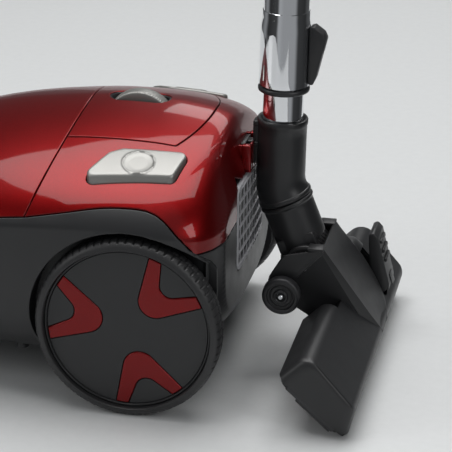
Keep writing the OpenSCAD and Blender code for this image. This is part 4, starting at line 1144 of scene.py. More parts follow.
TUBE_R, RING_Z, TUBE_TOP = 16.0, 226.0, 786.0
sleeve = [(18.02, 0.2), (18.3, 0), (19.6, 0), (19.9, 0.3), (20.0, 3)]
sleeve += [(20.0 - 0.15 * t, 3 + 40 * t) for t in np.linspace(0.1, 1, 8)]
sleeve += [(18.85 + 1.0 * (0.5 + 0.5 * math.cos(math.pi * t)), 43 + 13 * t) for t in np.linspace(0.08, 1, 14)]
sleeve += [(18.7, 59), (18.5, 60.2), (18.2, 60.5), (18.02, 60.4)]
L = TUBE_TOP - RING_Z - 9
for name, slot, body, node, foot, seg, prof in (
        ("wand_inner_tube", CHROME, "wand", "inner_tube", 168, 160,
         [(15.1, 0.3), (15.4, 0), (15.7, 0), (16, 0.3), (16, 575.7), (15.7, 576), (15.4, 576),
          (15.1, 575.7)]),
        ("wand_outer_tube", CHROME, "telescope", "outer_tube", RING_Z + 9, 160,
         [(17, 0.3), (17.3, 0), (17.7, 0), (18, 0.3), (18, L - 0.5), (17.8, L - 0.1), (17.5, L),
          (17.3, L - 0.3),
          (17.2, L - 40), (17, L - 40.6)]),
        ("wand_sleeve", CHROME, "telescope", "tube_sleeve", 236, 160, sleeve),
        ("wand_end_ring", BLK, "telescope", "tube_end_ring", RING_Z, 128,
         [(16.08, 4.6), (16.5, 4.4), (18.6, 4.4), (19.4, 4.6), (20.2, 5.2), (20.5, 5.9), (20.5, 7.4),
          (20.2, 8.2),
          (19.6, 8.8), (16.5, 8.9), (16.08, 8.6)])):
    make(name, *lathe(prof, wand_at(foot), WAND_N, seg), slot, body, [node])

# The catch: a wedge with a finger step, a back plate against the sleeve and grip ribs
T = TUBE_R
side_pts = rounded([(T + 3.6, 0.4), (T + 7.6, 0), (T + 9.8, 5), (T + 16.8, 37.5), (T + 14.8, 42),
                    (T + 7.0, 47.4), (T + 3.6, 46)],
                   [1, 1.5, 3, 1.4, 1.6, 1.4, 1], 4)


def catch_place(p):
    """p is (out from the axis, up, across)."""
    return wand_at(238) + np.array([math.cos(LEAN) * p[0], p[2], -math.sin(LEAN) * p[0]]) + WAND_N * p[1]


cat = Soup()
cat.add(*slab(side_pts, catch_place, -6.5, 6.5, 1.3))
for k in range(7):
    a0 = 26.5 + k * 1.6
    x0 = T + 9.8 + (a0 - 5) * 7.0 / 32.5
    cat.add(*block((x0 - 0.8, a0, -5.0), (x0 + 0.35, a0 + 0.8, 5.0), 0.25, catch_place))
cat.done("wand_catch", CHAR, "wand_catch", ["tube_latch"], sharp=40)


# ---------------------------------------------------------------- elbow
LEAN_E = math.radians(22)
BEND = np.array([98.0, 0, 139.0])
BAR_N = np.array([math.sin(LEAN_E), 0, -math.cos(LEAN_E)])


def swept(stations, seg=96, inner=None):
    """Circular rings at (centre, axis, radius) stations, closed with a bore of matching stations.

    A fourth value slants a ring: its points move along the axis with their distance rearward.
    """
    rings = []
    for c, ax, r, *skew in stations + (inner or []):
        u, vv, w = basis(ax, (0, 1, 0))
        if np.dot(w, WAND_N) < 0:
            vv = -vv
        k = skew[0] / r * (-1 if vv[0] < 0 else 1) if skew else 0.0
        rings.append(np.array([np.asarray(c) + r * (math.cos(t) * u + math.sin(t) * vv) + w * k * r * math.sin(t)
                               for t in np.linspace(0, 2 * math.pi, seg, endpoint=False)]))
    return np.vstack(rings), ring_faces(len(rings), seg, close_v=inner is not None)


def up_wand(*rows):
    """Stations of a sweep on the wand, from (height, radius)."""
    return [(wand_at(z), WAND_N, r) for z, r in rows]


def down_bar(*rows):
    """Stations along the lower barrel, from (distance below the bend, radius, and sometimes slant)."""
    return [(BEND + BAR_N * d, -BAR_N, *r) for d, *r in rows]


E_TOP = 208.0
st = up_wand((E_TOP - 2.2, 16.02), (E_TOP - 0.4, 17.6), (E_TOP, 18.2), (E_TOP, 19.4), (E_TOP - 0.3, 19.9),
             (E_TOP - 1.0, 20.2), (E_TOP - 4.0, 20.25), (E_TOP - 5.0, 20.0), (E_TOP - 6.0, 19.6),
             (E_TOP - 14, 19.5),
             *((z, 19.5) for z in np.linspace(188, 162, 8)))
for t in np.linspace(0.06, 0.94, 14):
    s = t * t * (3 - 2 * t)
    c = wand_at(162 - 16 * t) * (1 - s) + (BEND - BAR_N * (10 - 10 * t + 4.6)) * s
    n = -WAND_N * (1 - s) + BAR_N * s
    st.append((c, -n / np.linalg.norm(n), 19.5 + 1.2 * s))
st += down_bar((-4.6, 20.8), (-4.4, 21.1), (-3.9, 21.7), (-3.2, 21.9), (-2.0, 21.9), (-1.2, 21.7),
               (-0.7, 21.3),
               (-0.45, 20.6))
el = Soup()
el.add(*swept(st, 120, down_bar((-0.45, 14.0), (-9, 14.0)) + up_wand((158, 13.5), (168, 13.5), (168, 16.02))),
       flip=True)
# the hook: a flanged block with a tongue that drops into the bracket
for lo, hi, b in (((70.9, -5.2, 168.5), (80, 5.2, 204.5), 1.0), ((66.2, -4.6, 170), (74.5, 4.6, 187), 0.6),
                  ((62.4, -11.5, 170), (66.1, 11.5, 187), 0.8), ((71.6, -6.6, 200.5), (82, 6.6, 204.8), 0.9),
                  ((74.5, -6.2, 168), (82, 6.2, 171), 0.8), ((71.6, -6.4, 184.5), (80, 6.4, 187), 0.6)):
    el.add(*block(lo, hi, b))
el.done("elbow_upper", CHAR, "wand", ["elbow_socket"], sharp=35)

BAR_END, BAR_SKEW = 40.0, 4.5
bar = down_bar((0.2, 14), (0.2, 20.6), (0.6, 21.3), (1.2, 21.8), (2.0, 22.0), (2.8, 21.9), (3.5, 21.4),
               (4.0, 20.9),
               (4.4, 20.7), (5.2, 20.6))
bar += down_bar(*((d, 20.7, BAR_SKEW * (d - 8) / (BAR_END - 8)) for d in np.linspace(8, BAR_END - 1.4, 12)))
bar += down_bar(*((BAR_END - d, r, BAR_SKEW) for d, r in ((0.6, 20.5), (0.2, 20.1), (0, 19.5), (0, 17.6))))
bore = down_bar((BAR_END - 9, 17.0), (BAR_END - 10, 14.5), (20, 12.0), (-11, 11.5), (-12, 12.4),
                (-11.6, 13.9),
                (0.2, 13.94))
ba = Soup()
ba.add(*swept(bar, 120, bore), flip=True)


# ---------------------------------------------------------------- floor head's own frame
TILT_H = math.radians(42)
HEAD_O = np.array([171.5, 0, 1.2])
UH = np.array([math.cos(TILT_H), 0, -math.sin(TILT_H)])
WH = np.array([math.sin(TILT_H), 0, math.cos(TILT_H)])


def head_xyz(u, y, w):
    return HEAD_O + u * UH + w * WH + np.array([0, y, 0])


def uw_place(p):
    """(u, w, y) to the frame, for slabs drawn in the head's side view."""
    return head_xyz(p[0], p[2], p[1])


PIVOT = head_xyz(-101, 0, 33)
drum = [(3.1, -24.4), (12.5, -24.4), (14.2, -24.0), (15.2, -23.0)]
for k in range(8):
    y0 = -21 + k * 6
    drum += [(15.4, y0 - 1.4), (15.4, y0 + 1.4), (14.6, y0 + 1.9), (14.6, y0 + 4.1 if k < 7 else y0 + 1.9)]
drum += [(15.2, 23.0), (14.2, 24.0), (12.5, 24.4), (3.1, 24.4)]
ba.add(*lathe(drum, PIVOT, (0, 1, 0), 72))
# cheeks that join the barrel to the drum
for s in (-1, 1):
    c0 = BEND + BAR_N * 30
    o = [(-15.5, -2), (15.5, -2), (15.5, 8), (11, 22), (-11, 22), (-15.5, 8)]

    def cheek(p, s=s, c0=c0):
        u = np.array([BAR_N[2], 0, -BAR_N[0]])
        return c0 + u * p[0] * -1 + BAR_N * p[1] + np.array([0, s * (12.5 + p[2]), 0])
    ba.add(*slab(rounded(o, 2), cheek, 0, 6, 0.8))
ba.done("elbow_lower", CHAR, "barrel", ["elbow_barrel"], sharp=35)


# ---------------------------------------------------------------- floor head
HALF_W, END_R, MID_U = 139.0, 8.0, -35.0


# The outside of a wing in side view, open below: from the rear foot over the top to the nose
WING = rounded([(-70.2, 0.4), (-68.0, 30.2), (-11, 24.4), (0.0, 3.4), (-0.8, 0.4)], [0, 11, 9, 1.6, 0], 14,
               closed=False)
THICK = 2.4


def shrink(pts, d):
    """An open outline moved inward by d."""
    p = np.asarray(pts, float)
    e = np.gradient(p, axis=0)
    e /= np.maximum(np.linalg.norm(e, axis=1, keepdims=True), 1e-9)
    n = np.stack([e[:, 1], -e[:, 0]], 1)
    return p + n * d


def ring_c(y, inset=0.0, u0=None, u1=None):
    """A C-shaped section of the wing at y. u0 and u1 keep only part of it."""
    t = max(0.0, abs(y) - (HALF_W - END_R))
    k = END_R - math.sqrt(max(0.0, END_R ** 2 - t * t))
    o, i = shrink(WING, inset), shrink(WING, THICK)
    for row in (o, i):
        row[:, 0] = MID_U + (row[:, 0] - MID_U) * (1 - k / 35.0)
        row[:, 1] = np.maximum(row[:, 1], 0.4)
    for row, edge in ((o, 0.0), (i, THICK)):
        if u0 is not None:
            cut = row[:, 0] < u0 + edge
            row[cut, 1] = np.minimum(row[cut, 1], 30.2 - 0.1018 * (u0 + 68) - edge)
            row[cut, 0] = u0 + edge
        if u1 is not None:
            row[:, 0] = np.minimum(row[:, 0], u1 - edge)
    return np.vstack([o, i[::-1]])


def loft_head(sections):
    """Sections of equal length, each (y, [u, w] points), joined and capped."""
    rings = [np.array([head_xyz(u, y, w) for u, w in s]) for y, s in sections]
    m, n = len(rings[0]), len(rings)
    faces = ring_faces(n, m, close_v=False)
    h = m // 2
    for base_i, rev in ((0, False), ((n - 1) * m, True)):
        for k in range(h - 1):
            q = (base_i + k, base_i + k + 1, base_i + m - 2 - k, base_i + m - 1 - k)
            faces.append(q[::-1] if rev else q)
    return np.vstack(rings), faces


def solid_c(y, inset):
    """The full section, for the closed ends of the wings."""
    o = ring_c(y, inset)[:len(WING)]
    return np.vstack([o, np.c_[o[::-1, 0], np.full(len(o), 0.4)]])


DECK_HALF = 34.0
head = Soup()
IN = DECK_HALF - 1.5
PADDLE_Y = (62.6, 95.4)
END_Y = np.linspace(131, 136.6, 6)
wing_ys = np.concatenate([np.linspace(PADDLE_Y[1], 131, 6), END_Y[1:]])
near_ys = np.concatenate([-END_Y[::-1][:-1], np.linspace(-131, -IN, 6)])
for ys, kw in ((near_ys, {}), (np.linspace(-IN, IN, 10), {"u0": -58.0}),
               (np.linspace(IN, PADDLE_Y[0], 10), {}),
               (np.linspace(*PADDLE_Y, 10), {"u1": -59.0}), (wing_ys, {})):
    head.add(*loft_head([(y, ring_c(y, **kw)) for y in ys]))
# the front strip and the floor of the rocker's recess
head.add(*loft_head([(y, ring_c(y, u0=-20.5)) for y in (62.6, 79, 95.4)]))
head.add(*block((-60, 9.2, 62.6), (-10, 10.4, 95.4), 0.3, uw_place), flip=True)
for yy in (62.6, 95.4):
    o = [(-59.5, 8), (-59.5, 27.6), (-14, 23.6), (-11, 22), (-10, 8)]
    head.add(*slab(o, uw_place, yy - 0.7, yy + 0.7, 0.2), flip=True)
ENDS = ((136.4, 0.0), (136.6, 0.02), (137.3, 0.2), (138.0, 0.65), (138.55, 1.3), (138.9, 2.1), (139.0, 3.0))
for s in (-1, 1):
    head.add(*loft_head([(s * y, solid_c(y, inset)) for y, inset in ENDS[::s]]))

# the raised deck: a shell with chamfered edges, concave on top, that runs out to a point
DECK_TOP = [(-101.6, 56.9), (-92, 53.3), (-60, 41.3), (-30, 30.2), (-14, 24.7), (-9, 22.6)]

# The deck's far edge in plan: it swells toward the rocker pedal, while the near edge is straight
FAR_EDGE = [(-101.6, 33.9), (-92, 38.3), (-81, 45), (-70, 51.5), (-60, 57), (-50, 60.4), (-42, 61.8),
            (-34, 62),
            (-27, 61), (-20, 57), (-15, 50), (-10, 40)]
REAR_U, TIP_U, FAR_ROUND = -101.6, -15.6, 5.0


def deck_ring(u, drop=0.0):
    s = (u - REAR_U) / (TIP_U - REAR_U)
    yn = -DECK_HALF * (1 - s) + drop
    yf, wt = (float(np.interp(u, *zip(*table))) - drop for table in (FAR_EDGE, DECK_TOP))
    c = 2.6 + 4.6 * s
    low = min(wt - FAR_ROUND - 1, wt - 12.0 if u < -79 else 2.0)
    pts = [(yn, 0.8), (yn, wt - c * 0.95 - 0.3), (yn + 0.25, wt - c * 0.95), (yn + c - 0.3, wt - 0.25),
           (yn + c, wt - 0.02)]
    a, b = yn + c, yf - FAR_ROUND
    pts += [(a + (b - a) * t, wt - 0.9 * math.sin(math.pi * t)) for t in np.linspace(0.06, 0.94, 17)]
    pts += [(b + FAR_ROUND * math.sin(t), wt - FAR_ROUND * (1 - math.cos(t))) for t in np.linspace(0,
            math.pi / 2, 9)]
    return pts + [(yf, low)]


us = np.concatenate([np.linspace(REAR_U, -92, 6), np.linspace(-90, -20, 48), np.linspace(-18.8, -10.2, 14)])
rings = [[head_xyz(u, y, w) for y, w in deck_ring(u) + deck_ring(u, 2.5)[::-1]] for u in us]
m, e = len(rings[0]) // 2, (len(rings) - 1) * len(rings[0])
f = ring_faces(len(rings), 2 * m, close_v=False)
for k in range(m - 1):
    f.append((2 * m - 2 - k, 2 * m - 1 - k, k, k + 1))
    f.append((e + 2 * m - 1 - k, e + 2 * m - 2 - k, e + k + 1, e + k))
head.add(np.vstack(rings), f)

# housing walls beside the neck, with ribs along their edge, and the bevelled corners behind the deck
HOUSING_PTS = [(-101.9, 55.6), (-106.8, 47.7), (-114.0, 37.6), (-119.0, 29.8), (-118.6, 25), (-115.0, 8.0),
            (-110.5, 0.5), (-100, -1.0), (-98.5, 0), (-98.5, 54.4)]
HOUSING = rounded(HOUSING_PTS, [1.0, 6, 6, 3.5, 3.5, 5, 6, 0, 0, 0], 5)
CORNER = rounded([(-110.4, 48.6), (-101.2, 57.0), (-99.4, 55.0), (-108.4, 46.8)], 0.5, 3)
for s in (-1, 1):
    for o, y0, y1, edge in ((HOUSING, 31.2, DECK_HALF - 0.12, 0.7), (CORNER, 22.4, DECK_HALF - 0.2, 0.5)):
        head.add(*slab(o, uw_place, min(s * y0, s * y1), max(s * y0, s * y1), edge), flip=True)
    for k in range(6):
        u, w, y0 = -103.5 - 2.4 * k, 51.0 - 3.5 * k, 28.4 if s > 0 else -31.4
        head.add(*block((u - 0.6, w - 3.4, y0), (u + 0.6, w - 0.2, y0 + 3.0), 0.25, uw_place), flip=True)

# the arched hood behind the rocker pedal
hood = []
for u, k in ((-75.5, 0.0), (-75.0, 0.35), (-73.5, 0.68), (-71, 0.9), (-68, 0.99), (-64, 1.0), (-60.5, 1.0)):
    for r, du, angles in ((k, 0, np.linspace(math.pi, 0, 25)),
                          (max(0.0, k - 0.09), 1.2 if k < 0.95 else 0, np.linspace(0, math.pi, 25))):
        hood += [head_xyz(u + du, 80 + 18 * r * math.cos(t), 26.5 + 8.5 * r * math.sin(t)) for t in angles]
e = len(hood) - 50
head.add(hood, ring_faces(e // 50 + 1, 50, close_v=False, flip=True)
         + [(e + 48 - k, e + 49 - k, e + k, e + k + 1) for k in range(24)])
head.done("head_shell", CHAR, "head", ["head_cover"], sharp=34)

# sole plate: a thin tray with a stepped edge, the suction mouth and the brush slot
def sole_face(uv):
    """The underside of the head, which faces down."""
    return np.array([head_xyz(u, y, -3.0) for u, y in uv]), np.tile(-WH, (len(uv), 1))


o = rounded([(-66.5, -136.8), (-5.6, -136.8), (-5.6, 136.8), (-66.5, 136.8)], 7, 8)
mouth = rounded([(-34, -118), (-14, -118), (-14, 118), (-34, 118)], 3, 5)
slot_b = rounded([(-47.2, -112.8), (-39.8, -112.8), (-39.8, 112.8), (-47.2, 112.8)], 1, 3)
put_panel("sole_plate", BLK, "head", ["head_sole"], o, [mouth, slot_b], sole_face, 3.35,
          point_grid(-70, 0, -140, 140, 6.0, 0), edge=0.8, step=6, rim=2.5)
sole = Soup()
for lo, hi, b in (((-60, -2.9, -138.9), (-11, 3.0, -136.0), 0.8),
                  ((-60, -2.9, 136.0), (-11, 3.0, 138.9), 0.8),
                  ((-48, -5.0, -138.3), (-12, -2.6, -130), 1.1), ((-48, -5.0, 130), (-12, -2.6, 138.3), 1.1),
                  ((-65, 0.4, -26), (-11, 2.2, -23), 0.4), ((-65, 0.4, 23), (-11, 2.2, 26), 0.4),
                  ((-65, 9.2, -26), (-11, 11.8, 26), 0.4)):
    sole.add(*block(lo, hi, b, uw_place), flip=True)
sole.done("sole_edges", BLK, "head")

# transport wheels, with turned grooves, a boss and a bright axle end
ROLLER = [(2.05, 0), (14.6, 0), (15.3, 0.5), (15.5, 1.4), (15.5, 6.6), (15.2, 7.8), (14.4, 8.7), (13.2, 9.0),
          (11.6, 9.0), (11.2, 8.6), (10.9, 7.2), (10.2, 6.9), (9.6, 7.0), (9.2, 7.6), (8.6, 7.7), (8.2, 7.0),
          (7.0, 6.8), (6.2, 6.9), (5.8, 8.6), (5.3, 9.1), (4.2, 9.2), (3.7, 8.8), (3.3, 7.4), (2.05, 7.2)]
for s, tag, word in ((-1, "near", "left"), (1, "far", "right")):
    make("head_roller_" + tag, *lathe([(r, 36.0 + h) for r, h in ROLLER], head_xyz(-98, 0, 6.5), (0, s, 0),
                                      96),
         BLK, "roller_" + word, ["head_wheel_" + word], sharp=35)
ax = Soup()
ax.add(*rod(head_xyz(-98, -45.6, 6.5), head_xyz(-98, 45.6, 6.5), 2.0, 40, 0.5))
ax.done("head_axle", "steel", "head", ["head_wheel_axle"])

# the rocker pedal: a curved blade with three grip bars
rk = Soup()
ROCK = [(-67.6, 53.5), (-66.0, 57.6), (-60.0, 57.2), (-24.6, 34.0), (-21.5, 30.5), (-21.5, 21.0),
        (-13.5, 20.0),
        (-12.8, 12.4), (-20, 12.4), (-26, 18), (-37, 26.5), (-50, 36.5), (-61, 46.5)]
o = rounded(ROCK, [2.0, 2.6, 3, 3, 1, 1, 1, 1, 1, 3, 12, 10, 4], 6)
rk.add(*slab(o, uw_place, 64.4, 93.6, 1.1), flip=True)
BAR = rounded([(-1.9, 0), (1.9, 0), (1.5, 2.5), (-1.5, 2.5)], 0.8, 4)
for u in (-56, -49, -42):
    w = 57.0 - 0.634 * (u + 60) - 1.2

    def bar_place(p, u=u, w=w):
        along, out = np.array([0.845, -0.535]), np.array([0.535, 0.845])
        q = np.array([u, w]) + along * p[0] + out * (p[1] + 0.3)
        return head_xyz(q[0], p[2], q[1])
    rk.add(*slab(BAR, bar_place, 69, 89, 1.0), flip=True)
rk.add(*slab(rounded([(-29.5, 37.0), (-21, 32.0), (-20.6, 32.7), (-29.1, 37.7)], 0.2), uw_place, 73, 85, 0.2),
       flip=True)
rk.done("rocker", CHAR, "rocker", ["rocker_pedal"], sharp=40)


# ---------------------------------------------------------------- exhaust grille and the rear face
GR_Y, GR_Z = (-48.0, 52.0), (91.0, 163.0)
GR_MID = 0.5 * (GR_Y[0] + GR_Y[1])


def grille_x(y):
    """The face of the grille, bowed outward."""
    return REAR + 3.0 - 3.0 * ((y - GR_MID) / 50.0) ** 2


def inset_ring(o, d):
    """The outline moved inward by d, point for point."""
    nin, k = miters(o, 0.5)
    return o + nin * (d * k)[:, None]


# A bar across the grille, as (outward, up) from its middle
BAR_SECTION = ((-0.9, -0.7), (0.3, -0.6), (0.75, -0.25), (0.75, 0.25), (0.3, 0.6), (-0.9, 0.7))
gr = Soup()
for j in range(7):
    z0 = GR_Z[0] + 5.0 + j * 10.6
    rings = []
    for y in np.linspace(GR_Y[0] + 2.5, GR_Y[1] - 2.5, 49):
        sag = 3.4 * (1 - ((y - GR_MID) / 50) ** 2) - 1.4
        rings.append([(grille_x(y) + dx, y, z0 + dz + sag) for dx, dz in BAR_SECTION])
    gr.add(*stack(rings))
for i in range(10):
    y = GR_Y[0] + 9.0 + i * 9.11
    x = grille_x(y)
    gr.add(*block((x - 0.8, y - 0.4, GR_Z[0] + 2), (x + 0.1, y + 0.4, GR_Z[1] - 2), 0.3))


def framed(soup, lo, hi, r, steps, x_of):
    """A frame round a rounded rectangle of (y, z), from steps of (inset, outward)."""
    o = rounded([(lo[0], lo[1]), (hi[0], lo[1]), (hi[0], hi[1]), (lo[0], hi[1])], r, 8)
    rings = [[(x_of(y) + dx, y, z) for y, z in inset_ring(o, inset)] for inset, dx in steps]
    soup.add(np.vstack(rings), ring_faces(len(rings), len(o)))


framed(gr, (GR_Y[0] + 0.2, GR_Z[0] + 0.2), (GR_Y[1] - 0.2, GR_Z[1] - 0.2), 7,
       ((0.0, -3.0), (0.0, -0.2), (0.25, 0.35), (0.7, 0.6), (2.4, 0.6), (2.9, 0.35), (3.1, -0.2),
        (3.1, -3.0)), grille_x)
gr.done("exhaust_grille", "grey_grille", "body", ["exhaust_grille"], sharp=40)

# the raised frame of the rear face round the grille
fr = Soup()
framed(fr, (GR_Y[0] - 6.5, GR_Z[0] - 6), (GR_Y[1] + 6.5, GR_Z[1] + 1), 9,
       ((6.0, 0.3), (5.9, 1.5), (5.4, 2.0), (4.9, 2.2), (1.4, 1.7), (0.6, 1.2), (0.0, 0.2)),
       lambda y: REAR - 1.4 - 0.0009 * (y - GR_MID) ** 2)
fr.done("grille_surround", CHAR, "body", sharp=40)

# ---------------------------------------------------------------- pivot pins of the neck
pins = Soup()
for s in (-1, 1):
    pins.add(*rod(PIVOT + np.array([0, s * 21.2, 0]), PIVOT + np.array([0, s * 33.0, 0]), 3.0, 40, 0.4))
pins.done("neck_pins", "steel", "head", ["neck_pins"])

# ---------------------------------------------------------------- parking bracket
br = Soup()
for lo, hi, b in (((64.5, -19, 165), (72.4, -12.6, 188), 1.4), ((64.5, 12.6, 165), (72.4, 19, 188), 1.4),
                  ((63.5, -19, 165), (72.4, 19, 168.9), 1.3),
                  ((70.2, -13.2, 165.5), (72.4, -5.6, 188), 0.7),
                  ((70.2, 5.6, 165.5), (72.4, 13.2, 188), 0.7)):
    br.add(*block(lo, hi, b))
for s in (-1, 1):
    br.add(*slab(rounded([(62.5, 170), (70, 170), (70, 187.2), (60.5, 187.2)], 0.8), lambda p,
                 s=s: np.array([p[0], s * p[2], p[1]]), 14.2, 17.4, 0.6))
    gus = rounded([(62.5, 158.5), (68.6, 165.6), (68.6, 168), (61.5, 168)], 0.4)
    br.add(*slab(gus, lambda p, s=s: np.array([p[0], s * p[2], p[1]]), 14.0, 18.0, 0.5))
br.done("parking_bracket", RED, "body", ["parking_bracket"], sharp=40)

# ---------------------------------------------------------------- cover hinge arms and the latch
HINGE = np.array([-30.0, 0, 204.0])
ARM = [(0, 0), (-4, -30), (-34, -30), (-52, -6)]
arms = Soup()
for s in (-1, 1):
    path = rounded([np.array(p, float) for p in ARM], [0, 9, 9, 0], 8, closed=False)
    rings = []
    for i, p in enumerate(path):
        a = path[max(0, i - 1)]
        b = path[min(len(path) - 1, i + 1)]
        t = (b - a) / np.linalg.norm(b - a)
        nn = np.array([-t[1], t[0]])
        o = rounded([(-2.9, -3.9), (2.9, -3.9), (2.9, 3.9), (-2.9, 3.9)], 0.9, 3)
        rings.append(np.array([HINGE + np.array([p[0] + nn[0] * q[0], s * (26 + q[1]),
                                                 p[1] + nn[1] * q[0]]) for q in o]))
    pts, faces = stack(rings)
    arms.add(pts, faces)
    arms.add(*lathe([(2.55, -3.6), (2.95, -4), (4.5, -4), (5, -3.5), (5, 3.5), (4.5, 4), (2.95, 4),
                     (2.55, 3.6)], HINGE + np.array([0, s * 26, 0]), (0, 1, 0), 48))
    # the root plate under the cover's skin
    arms.add(*block((-94, s * 26 - 7, 196.5), (-78, s * 26 + 7, 199.2), 0.6))
arms.done("cover_hinge_arms", RED, "cover", [], sharp=35)

la = Soup()
pad = rounded([(NOSE + 1.0, 99.6), (NOSE + 9, 99.6), (NOSE + 9, 110.4), (NOSE + 3.2, 110.4),
               (NOSE + 1.2, 107.5)], [1.2, 0.6, 0.6, 1.5, 1.5], 4)
la.add(*slab(pad, lambda p: np.array([p[0], p[2], p[1]]), -15, 15, 0.9))
for k in range(4):
    z = 101.6 + 2.0 * k
    la.add(*block((NOSE + 0.75, -12, z), (NOSE + 2.2, 12, z + 0.9), 0.3))
la.add(*block((NOSE + 8, -12, 72), (NOSE + 12, 12, 110.3), 0.8))
la.add(*slab(rounded([(NOSE + 5.5, 72.6), (NOSE + 8.8, 72), (NOSE + 8.8, 75), (NOSE + 6.0, 75)], 0.3),
             lambda p: np.array([p[0], p[2], p[1]]), -12, 12, 0.4))
la.done("cover_latch", CHAR, "latch", ["cover_latch"], sharp=40)

# ---------------------------------------------------------------- hose inlet
HOSE_R = 19.0


def inlet(d):
    return INLET + INLET_N * d


v, f = lathe([(HOSE_R, 0.6), (HOSE_R + 0.5, 0), (HOSE_R + 2.6, 0), (HOSE_R + 3, 0.4), (HOSE_R + 3, 29.8),
              (HOSE_R + 7.2, 30.0), (HOSE_R + 7.8, 30.6), (HOSE_R + 7.9, 32.4),
              (HOSE_R + 7.4, 33.8), (HOSE_R + 6.2, 34.6), (HOSE_R + 3.2, 35.0), (HOSE_R + 1.4, 34.9),
              (HOSE_R + 0.5, 34.2), (HOSE_R + 0.05, 32.8), (HOSE_R, 30), (HOSE_R, 20), (HOSE_R + 0.02, 10)],
             inlet(-14), INLET_N, 144)
hs = Soup()
hs.add(v, f)
u_h, v_h, w_h = basis(INLET_N, (0, 1, 0))
for k in range(4):
    a = math.pi / 4 + k * math.pi / 2

    def lug(p, a=a):
        r = u_h * math.cos(a) + v_h * math.sin(a)
        t = -u_h * math.sin(a) + v_h * math.cos(a)
        return inlet(-14) + r * p[0] + t * p[1] + w_h * p[2]
    hs.add(*block((HOSE_R + 3.6, -2.0, 34.0), (HOSE_R + 7.0, 2.0, 35.3), 0.5, lug))
hs.done("hose_socket", CHAR, "cover", ["hose_socket"], sharp=35)
prof = [(HOSE_R + 0.5, 0.6), (HOSE_R + 1.0, 0), (HOSE_R + 4.4, 0), (HOSE_R + 4.9, 0.5), (HOSE_R + 4.3, 1.3),
        (HOSE_R + 4.9, 2.1), (HOSE_R + 4.3, 2.9), (HOSE_R + 4.9, 3.7),
        (HOSE_R + 4.9, 4.5), (HOSE_R + 4.4, 5), (HOSE_R + 1.5, 5), (HOSE_R + 0.6, 4.4)]
v, f = lathe(prof, inlet(-19), INLET_N, 120)
make("cover_seal", v, f, "seal_rubber", "cover", ["cover_seal"], sharp=50)


# ---------------------------------------------------------------- dust bag
def dust_bag():
    """A fleece bag: two panels welded round their edge, blown up, sagging, with folds."""
    mid, half = np.array([-178.0, 0, 98.0]), np.array([70.0, 80.0, 33.0])
    nu, nv = 192, 72
    rings = []
    for j in range(nv + 1):
        t = -math.pi / 2 + math.pi * j / nv
        ring_pts = []
        for i in range(nu):
            a = 2 * math.pi * i / nu
            ce, se = math.cos(a), math.sin(a)
            # a rounded rectangle in plan, thick in the middle and thin at the welded edge
            k = (abs(ce) ** 3.0 + abs(se) ** 3.0) ** (-1 / 3.0)
            r = abs(math.cos(t)) ** 0.62
            h = math.copysign(abs(math.sin(t)) ** 0.9, math.sin(t))
            k *= 0.93
            x, y = half[0] * r * k * ce * 0.97, half[1] * r * k * se * 0.97
            edge = math.cos(t) ** 8
            z = half[2] * 0.95 * h * (1 - 0.12 * (x / half[0]) ** 2 - 0.12 * (y / half[1]) ** 2)
            # pull-in between the corners and gathered folds along the weld
            fold = 0.0
            for m, ph, am in ((14, 0.3, 0.9), (23, 1.9, 0.7), (37, 0.8, 0.45)):
                fold += am * math.sin(m * a + ph + 2.2 * t)
            fold *= abs(math.cos(t)) ** 1.6
            broad = (1.1 * math.sin(3 * x / half[0] + 1.3 * y / half[1]) * math.cos(2.2 * y / half[1] - 0.6)
                     + 0.8 * math.sin(5.1 * y / half[1] + 2 * x / half[0]))
            x += fold * 0.55 * ce
            y += fold * 0.55 * se
            z += (fold * 0.8 * np.sign(h + 1e-9) * (1 - edge) + broad * (1 - edge)) * 0.8
            if z < 0:
                z = max(z, -half[2] * 0.93)
            ring_pts.append((mid[0] + x, mid[1] + y, mid[2] + z))
        rings.append(np.array(ring_pts))
    rings[0][:] = rings[0].mean(0)
    verts = [rings[0][0]]
    for r in rings[1:-1]:
        verts += list(r)
    verts.append(rings[-1].mean(0))
    faces = []
    for i in range(nu):
        faces.append((0, 1 + (i + 1) % nu, 1 + i))
    for j in range(nv - 2):
        for i in range(nu):
            a, b = 1 + j * nu + i, 1 + j * nu + (i + 1) % nu
            faces.append((a, b, b + nu, a + nu))
    last = len(verts) - 1
    s0 = 1 + (nv - 2) * nu
    for i in range(nu):
        faces.append((s0 + i, s0 + (i + 1) % nu, last))
    return np.array(verts), faces


bg_v, bg_f = dust_bag()
bag = Soup()
bag.add(bg_v, bg_f)
# the weld: a thin flange round the middle
rings = []
for i in range(240):
    a = 2 * math.pi * i / 240
    k = (abs(math.cos(a)) ** 3 + abs(math.sin(a)) ** 3) ** (-1 / 3.0) * 0.93 * 0.97
    w = 0.5 * math.sin(17 * a + 0.6) + 0.35 * math.sin(29 * a)
    ca, sa = math.cos(a), math.sin(a)
    o = [(-2.5, -0.5), (1.9, -0.42), (2.2, 0), (1.9, 0.42), (-2.5, 0.5)]
    rings.append([(-178 + (70 * k + p) * ca, (80 * k + p) * sa, 98 + w + q) for p, q in o])
bag.add(np.vstack(rings), ring_faces(240, 5))
# the neck, gathered in soft pleats up to the card collar
neck = []
for j in range(15):
    d = -52 + 30.1 * j / 14
    ring_pts = []
    for i in range(144):
        a = 2 * math.pi * i / 144
        flare = (6.0 * (1 - j / 5) ** 2 if j < 5 else 0) * 0.6
        r = HOSE_R + 0.4 + 0.5 * math.sin(18 * a + 0.5 * j / 14) * (1 - j / 16) + flare
        ring_pts.append(inlet(d) + (u_h * math.cos(a) + v_h * math.sin(a)) * r)
    neck.append(np.array(ring_pts))
pts, faces = stack(neck)
bag.add(pts, faces)
bag_ob = bag.done("dust_bag", "bag_fleece", "body", ["dust_bag"], sharp=60)


